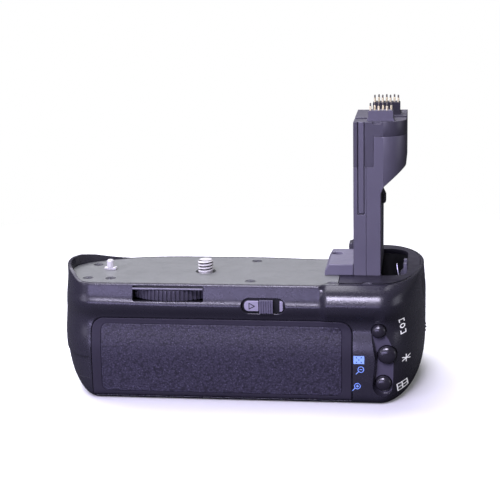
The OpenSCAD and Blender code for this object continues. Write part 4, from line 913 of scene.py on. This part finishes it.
def threadedScrew():
    q = screwSize
    turn = np.arange(64) / 64
    zs = np.concatenate([[q["z0"], q["threadZ"]], np.arange(q["threadZ"] + 0.02, q["top"] - 0.3, q["pitch"] / 14),
                         [q["top"] - 0.25, q["top"]]])
    rings = []
    for z in zs:
        phase = ((z - q["threadZ"]) / q["pitch"] - turn) % 1.0
        crest = np.clip(1.5 - abs(phase - 0.5) * 3.6, 0, 1)
        radius = np.minimum(q["radius"] - q["depth"] * (1 - crest), q["radius"] - max(0, z - q["top"] + q["chamfer"]))
        if z <= q["threadZ"]:
            radius = q["shaft"]
        a = 2 * math.pi * turn
        rings.append(flatRing(np.column_stack([q["x"] + radius * np.cos(a), q["y"] + radius * np.sin(a)]), z))
    return ringSolid("camera_screw_fine", rings)


screw = place(smoothShade(threadedScrew(), 28), "camera_screw", threadMat)
screw.data.materials.append(pinMat)
for face in screw.data.polygons:
    if face.normal.z > 0.9:
        face.material_index = 1


def linkAll(tree, *pairs):
    for output, socket in pairs:
        tree.links.new(output, socket)


# Repeated pieces made with Geometry Nodes: an instance on every point of a small mesh
def scatter(name, points, template, mat, turn=0.0, seed=7):
    group = bpy.data.node_groups.new(name + "_nodes", "GeometryNodeTree")
    face = group.interface
    for title, kind in (("Geometry", "Geometry"), ("Piece", "Object"), ("Finish", "Material"), ("Most Turn", "Float"),
                        ("Seed", "Int")):
        face.new_socket(name=title, in_out="INPUT", socket_type="NodeSocket" + kind)
    face.new_socket(name="Geometry", in_out="OUTPUT", socket_type="NodeSocketGeometry")
    source, sink, info, spread, chance, spin, real, finish, toPoints = [group.nodes.new(kind) for kind in (
        "NodeGroupInput", "NodeGroupOutput", "GeometryNodeObjectInfo", "GeometryNodeInstanceOnPoints",
        "FunctionNodeRandomValue", "ShaderNodeCombineXYZ", "GeometryNodeRealizeInstances", "GeometryNodeSetMaterial",
        "GeometryNodeMeshToPoints")]
    linkAll(group, (source.outputs["Geometry"], toPoints.inputs["Mesh"]), (source.outputs["Piece"], info.inputs["Object"]),
            (toPoints.outputs[0], spread.inputs["Points"]), (info.outputs["Geometry"], spread.inputs["Instance"]),
            (source.outputs["Most Turn"], chance.inputs[3]), (source.outputs["Seed"], chance.inputs["Seed"]),
            (chance.outputs[1], spin.inputs["Z"]), (spin.outputs[0], spread.inputs["Rotation"]),
            (spread.outputs[0], real.inputs[0]), (real.outputs[0], finish.inputs["Geometry"]),
            (source.outputs["Finish"], finish.inputs["Material"]), (finish.outputs[0], sink.inputs[0]))
    holder = newObject(name, points, [])
    mod = holder.modifiers.new("pattern", "NODES")
    mod.node_group = group
    wanted = {"Piece": template, "Finish": mat, "Most Turn": float(turn), "Seed": int(seed)}
    for item in face.items_tree:
        if item.item_type == "SOCKET" and item.in_out == "INPUT" and item.name in wanted:
            mod[item.identifier] = wanted[item.name]
    holder.update_tag()
    bpy.context.view_layer.update()
    bake(holder)
    bpy.data.objects.remove(template)
    return holder


pinSets = {"back": {"x": 51.6, "y": -13.5, "width": 9.7, "depth": 5.2, "height": 4.1, "count": 6},
           "front": {"x": 52.6, "y": 5.2, "width": 11.0, "depth": 5.4, "height": 4.9, "count": 7}}
pinSize = {"radius": 0.42, "up": 2.9, "from": 1.6, "topZ": 110.0, "row": 0.9}
for side, q in pinSets.items():
    points = [(q["x"] + q["width"] * (i + 0.5) / q["count"], q["y"] + q["depth"] / 2 + pinSize["row"] * (-1, 1)[i % 2],
               pinSize["topZ"]) for i in range(q["count"])]
    rr, low, top = pinSize["radius"], pinSize["from"], q["height"] + pinSize["up"]
    barrel = lathe("pinTemplate", [(0.001, low), (rr, low), (rr, top - 1.35), (rr * 0.92, top - 1.25), (rr * 0.8, top - 1.2),
                                   (0.001, top - 1.2)], 20)
    place(smoothShade(scatter(side + "_pin_barrels", points, barrel, goldMat), 40), side + "_pins", goldMat)
    tip = lathe("tipTemplate", [(0.001, top - 1.22), (rr * 0.78, top - 1.22), (rr * 0.78, top - 0.3), (rr * 0.62, top - 0.1),
                                (rr * 0.3, top - 0.01), (0.001, top)], 20)
    place(smoothShade(scatter(side + "_pin_tips", points, tip, tipMat), 40), side + "_pins", tipMat, replace=False)
print("pins")


# Printed marks: thin strokes laid on the surface found by rays from behind
def surfaceTree(*objects):
    verts, polys = [], []
    for o in objects:
        base = len(verts)
        verts += [v.co.copy() for v in o.data.vertices]
        polys += [tuple(base + i for i in p.vertices) for p in o.data.polygons]
    return BVHTree.FromPolygons(verts, polys)


backTree = surfaceTree(body)


def strokeFaces(strokes, width):
    quads = []
    for line in strokes:
        line = [Vector(p) for p in line]
        for a, b in zip(line[:-1], line[1:]):
            d = (b - a).normalized() * width / 2
            n = Vector((-d.y, d.x))
            quads.append((a - d + n, a - d - n, b + d - n, b + d + n))
    return quads


def circle(cx, cz, radius, count):
    angles = np.radians(np.linspace(0, 360, count + 1))
    return [(cx + radius * math.cos(a), cz + radius * math.sin(a)) for a in angles]


def printed(name, quads, mat, lift=0.06, flatY=None):
    verts, faces = [], []
    for quad in quads:
        base, steps, grid = len(verts), 4, []
        for u in np.linspace(0, 1, steps):
            for v in np.linspace(0, 1, steps):
                p = (quad[0] * (1 - u) + quad[3] * u) * (1 - v) + (quad[1] * (1 - u) + quad[2] * u) * v
                hit, normal = backTree.ray_cast(Vector((p.x * mm, -0.06, p.y * mm)), Vector((0, 1, 0)))[:2]
                if hit is None or flatY is not None:
                    hit, normal = Vector((p.x * mm, (flatY or -36) * mm, p.y * mm)), Vector((0, -1, 0))
                if normal.y > 0:
                    normal = -normal
                grid.append(tuple((hit / mm + normal * lift)[:]))
        verts += grid
        for a in range(steps - 1):
            for b in range(steps - 1):
                i = base + a * steps + b
                faces.append((i, i + 1, i + steps + 1, i + steps))
    obj = newObject(name, verts, faces)
    paint(obj, mat)
    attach(obj, "root")


def turned(points, cx, cz, degrees):
    c, s = math.cos(math.radians(degrees)), math.sin(math.radians(degrees))
    return [(cx + x * c - z * s, cz + x * s + z * c) for x, z in points]


marks = {"bracket": (65.7, 31.0), "star": (67.2, 17.6), "grid": (65.8, 6.6), "chart": (48.9, 18.9),
         "lensUpper": (49.7, 15.0), "lensLower": (48.3, 8.1)}
tilt = 8
cx, cz = marks["star"]
star = [[(cx, cz), (cx + 1.6 * math.cos(a), cz + 1.35 * math.sin(a))] for a in np.radians([30, 90, 150, 210, 270, 330])]
cx, cz = marks["grid"]
gridLines = [turned(line, cx, cz, tilt) for line in (
    [(-1.9, -1.5), (1.9, -1.5), (1.9, 1.5), (-1.9, 1.5), (-1.9, -1.5)], [(0, -1.5), (0, 1.5)], [(-1.9, 0), (1.9, 0)])]
cx, cz = marks["bracket"]
bracket = [turned(line, cx, cz, tilt) for line in ([(-0.9, 1.9), (-0.9, 3.0), (0.9, 3.0), (0.9, 1.9)],
                                                   [(-0.9, -1.9), (-0.9, -3.0), (0.9, -3.0), (0.9, -1.9)])]
bracket.append(circle(cx, cz, 0.8, 12))
printed("mark_star", strokeFaces(star, 0.36), whiteInk)
printed("mark_grid", strokeFaces(gridLines, 0.34), whiteInk)
printed("mark_bracket", strokeFaces(bracket, 0.38), whiteInk)
lenses = []
for key in ("lensUpper", "lensLower"):
    cx, cz = marks[key]
    lenses += [circle(cx, cz, 1.15, 14), [(cx - 0.85, cz - 0.85), (cx - 1.9, cz - 1.9)], [(cx - 0.45, cz), (cx + 0.45, cz)]]
cx, cz = marks["lensLower"]
lenses.append([(cx, cz - 0.45), (cx, cz + 0.45)])
printed("mark_lenses", strokeFaces(lenses, 0.27), blueInk)
cx, cz = marks["chart"]
chart = []
columns, rows, dots = 9, 7, ((2, 1), (6, 1), (4, 3), (2, 5), (6, 5))
for ix in range(columns):
    for iz in range(rows):
        x0, z0, dx, dz = cx - 2.1 + ix * 4.2 / columns, cz - 1.6 + iz * 3.2 / rows, 4.2 / columns, 3.2 / rows
        if (ix, iz) not in dots:
            chart.append(tuple(Vector(p) for p in ((x0, z0), (x0 + dx, z0), (x0 + dx, z0 + dz), (x0, z0 + dz))))
printed("mark_chart", chart, blueInk)
cx, cz, r = arrowMark["x"], arrowMark["z"], arrowMark["size"]
arrow = [[(cx - r * 0.8, cz - r), (cx + r, cz), (cx - r * 0.8, cz + r), (cx - r * 0.8, cz - r)]]
plateY = slotY + slotPlates["release_plate_fine"][3]
printed("mark_arrow", strokeFaces(arrow, arrowMark["stroke"]), blackAndShadeMat, flatY=plateY - arrowMark["lift"], lift=0.0)
print("marks")

# Camera at the photograph's angle, fitted to edges and corners of the object
cameraFit = {"azimuth": 7.88709, "elevation": 13.80014, "roll": -1.291247, "focalPixels": 1336.3702, "distance": 557.1855,
             "targetX": 1.783365, "targetZ": 54.103637, "pixels": 500, "sensor": 36.0}
c = cameraFit
a, e = math.radians(c["azimuth"]), math.radians(c["elevation"])
back = Vector((math.sin(a) * math.cos(e), -math.cos(a) * math.cos(e), math.sin(e)))
right = Vector((math.cos(a), math.sin(a), 0))
up = back.cross(right)
rollAngle = math.radians(c["roll"])
right, up = right * math.cos(rollAngle) + up * math.sin(rollAngle), -right * math.sin(rollAngle) + up * math.cos(rollAngle)
camData = bpy.data.cameras.new("camera")
camData.sensor_width = c["sensor"]
camData.lens = c["focalPixels"] / c["pixels"] * c["sensor"]
camData.clip_start, camData.clip_end = 0.01, 50
cam = linked("camera", camData)
m = Matrix((right, up, back)).transposed().to_4x4()
m.translation = Vector((c["targetX"], 0, c["targetZ"])) * mm + back * c["distance"] * mm
cam.matrix_world = m
scene.camera = cam

# Floor, world and lights. The floor is lit near the object, to take its shadow, and plain white further out
floorLook = {"size": 6.0, "z": -0.00002, "color": (0.84, 0.84, 0.85), "litTo": 0.16, "whiteFrom": 0.34, "leastWhite": 0.12,
             "mirrored": (0.05, 0.05, 0.055)}
s = floorLook["size"]
floor = newObject("floor", [(x, y, floorLook["z"]) for x, y in ((-s, -s), (s, -s), (s, s), (-s, s))], [(0, 1, 2, 3)], 1.0)
floor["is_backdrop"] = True
mat = bpy.data.materials.new("pale_floor")
mat.use_nodes = True
nodes = mat.node_tree.nodes
shader = nodes["Principled BSDF"]
shader.inputs["Base Color"].default_value = (*floorLook["color"], 1)
shader.inputs["Roughness"].default_value = 0.9
shader.inputs["Specular IOR Level"].default_value = 0.0
seenBy, dim, choose, where, reach, fade, white, both = [nodes.new("ShaderNode" + kind) for kind in (
    "LightPath", "BsdfDiffuse", "MixShader", "TexCoord", "VectorMath", "MapRange", "Emission", "MixShader")]
reach.operation = "LENGTH"
fade.inputs["To Min"].default_value = floorLook["leastWhite"]
fade.inputs["From Min"].default_value, fade.inputs["From Max"].default_value = floorLook["litTo"], floorLook["whiteFrom"]
dim.inputs["Color"].default_value = (*floorLook["mirrored"], 1)
linkAll(mat.node_tree, (where.outputs["Object"], reach.inputs[0]), (reach.outputs["Value"], fade.inputs["Value"]),
        (fade.outputs[0], both.inputs[0]), (shader.outputs[0], both.inputs[1]), (white.outputs[0], both.inputs[2]),
        (seenBy.outputs["Is Camera Ray"], choose.inputs[0]), (dim.outputs[0], choose.inputs[1]),
        (both.outputs[0], choose.inputs[2]), (choose.outputs[0], nodes["Material Output"].inputs[0]))
paint(floor, mat)

world = bpy.data.worlds.new("studio")
scene.world = world
world.use_nodes = True
tree = world.node_tree
tree.nodes.clear()
outNode, mixNode, seen, lit, path = [tree.nodes.new("ShaderNode" + kind) for kind in (
    "OutputWorld", "MixShader", "Background", "Background", "LightPath")]
seen.inputs[0].default_value, seen.inputs[1].default_value = (1, 1, 1, 1), 1.0
lit.inputs[0].default_value, lit.inputs[1].default_value = (0.93, 0.94, 1.0, 1), 0.10
linkAll(tree, (path.outputs["Is Camera Ray"], mixNode.inputs[0]), (lit.outputs[0], mixNode.inputs[1]),
        (seen.outputs[0], mixNode.inputs[2]), (mixNode.outputs[0], outNode.inputs[0]))

# Each light: place in metres, width, depth, power in watts, colour. The dull ones make no highlights
lights = {"top": ((-0.25, 0.45, 0.80), 1.00, 0.80, 6.0, (0.90, 0.88, 1.0)),
          "dullTop": ((-0.25, 0.36, 0.80), 1.00, 0.80, 13.0, (0.93, 0.93, 1.0)),
          "sky": ((-0.05, -0.72, 0.74), 0.32, 0.42, 8.3, (0.80, 0.75, 1.0)),
          "skyLeft": ((-0.42, -0.72, 0.74), 0.42, 0.42, 3.0, (0.76, 0.71, 1.0)),
          "dullLeft": ((-0.75, -0.80, 0.42), 0.50, 0.50, 6.0, (0.74, 0.69, 1.0)),
          "fill": ((-0.20, -0.90, 0.26), 0.80, 0.24, 0.4, (0.62, 0.56, 1.0)),
          "key": ((-0.25, -0.70, 0.075), 0.60, 0.12, 1.1, (0.62, 0.56, 1.0)),
          "left": ((-0.80, -0.45, 0.30), 0.30, 0.30, 0.6, (0.80, 0.76, 1.0)),
          "side": ((0.90, -0.02, 0.16), 0.40, 0.30, 0.4, (0.85, 0.84, 1.0))}
for name, (spot, width, depth, power, color) in lights.items():
    data = bpy.data.lights.new(name, "AREA")
    data.shape, data.size, data.size_y, data.energy, data.color = "RECTANGLE", width, depth, power, color
    lamp = linked(name, data)
    lamp.visible_glossy = not name.startswith("dull")
    lamp.location = spot
    lamp.rotation_mode = "QUATERNION"
    lamp.rotation_quaternion = (Vector(spot) - Vector((0, 0, 0.04))).to_track_quat("Z", "Y")
scene.view_settings.view_transform = "Standard"
scene.view_settings.look = "None"
print("camera and lights")

low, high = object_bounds()
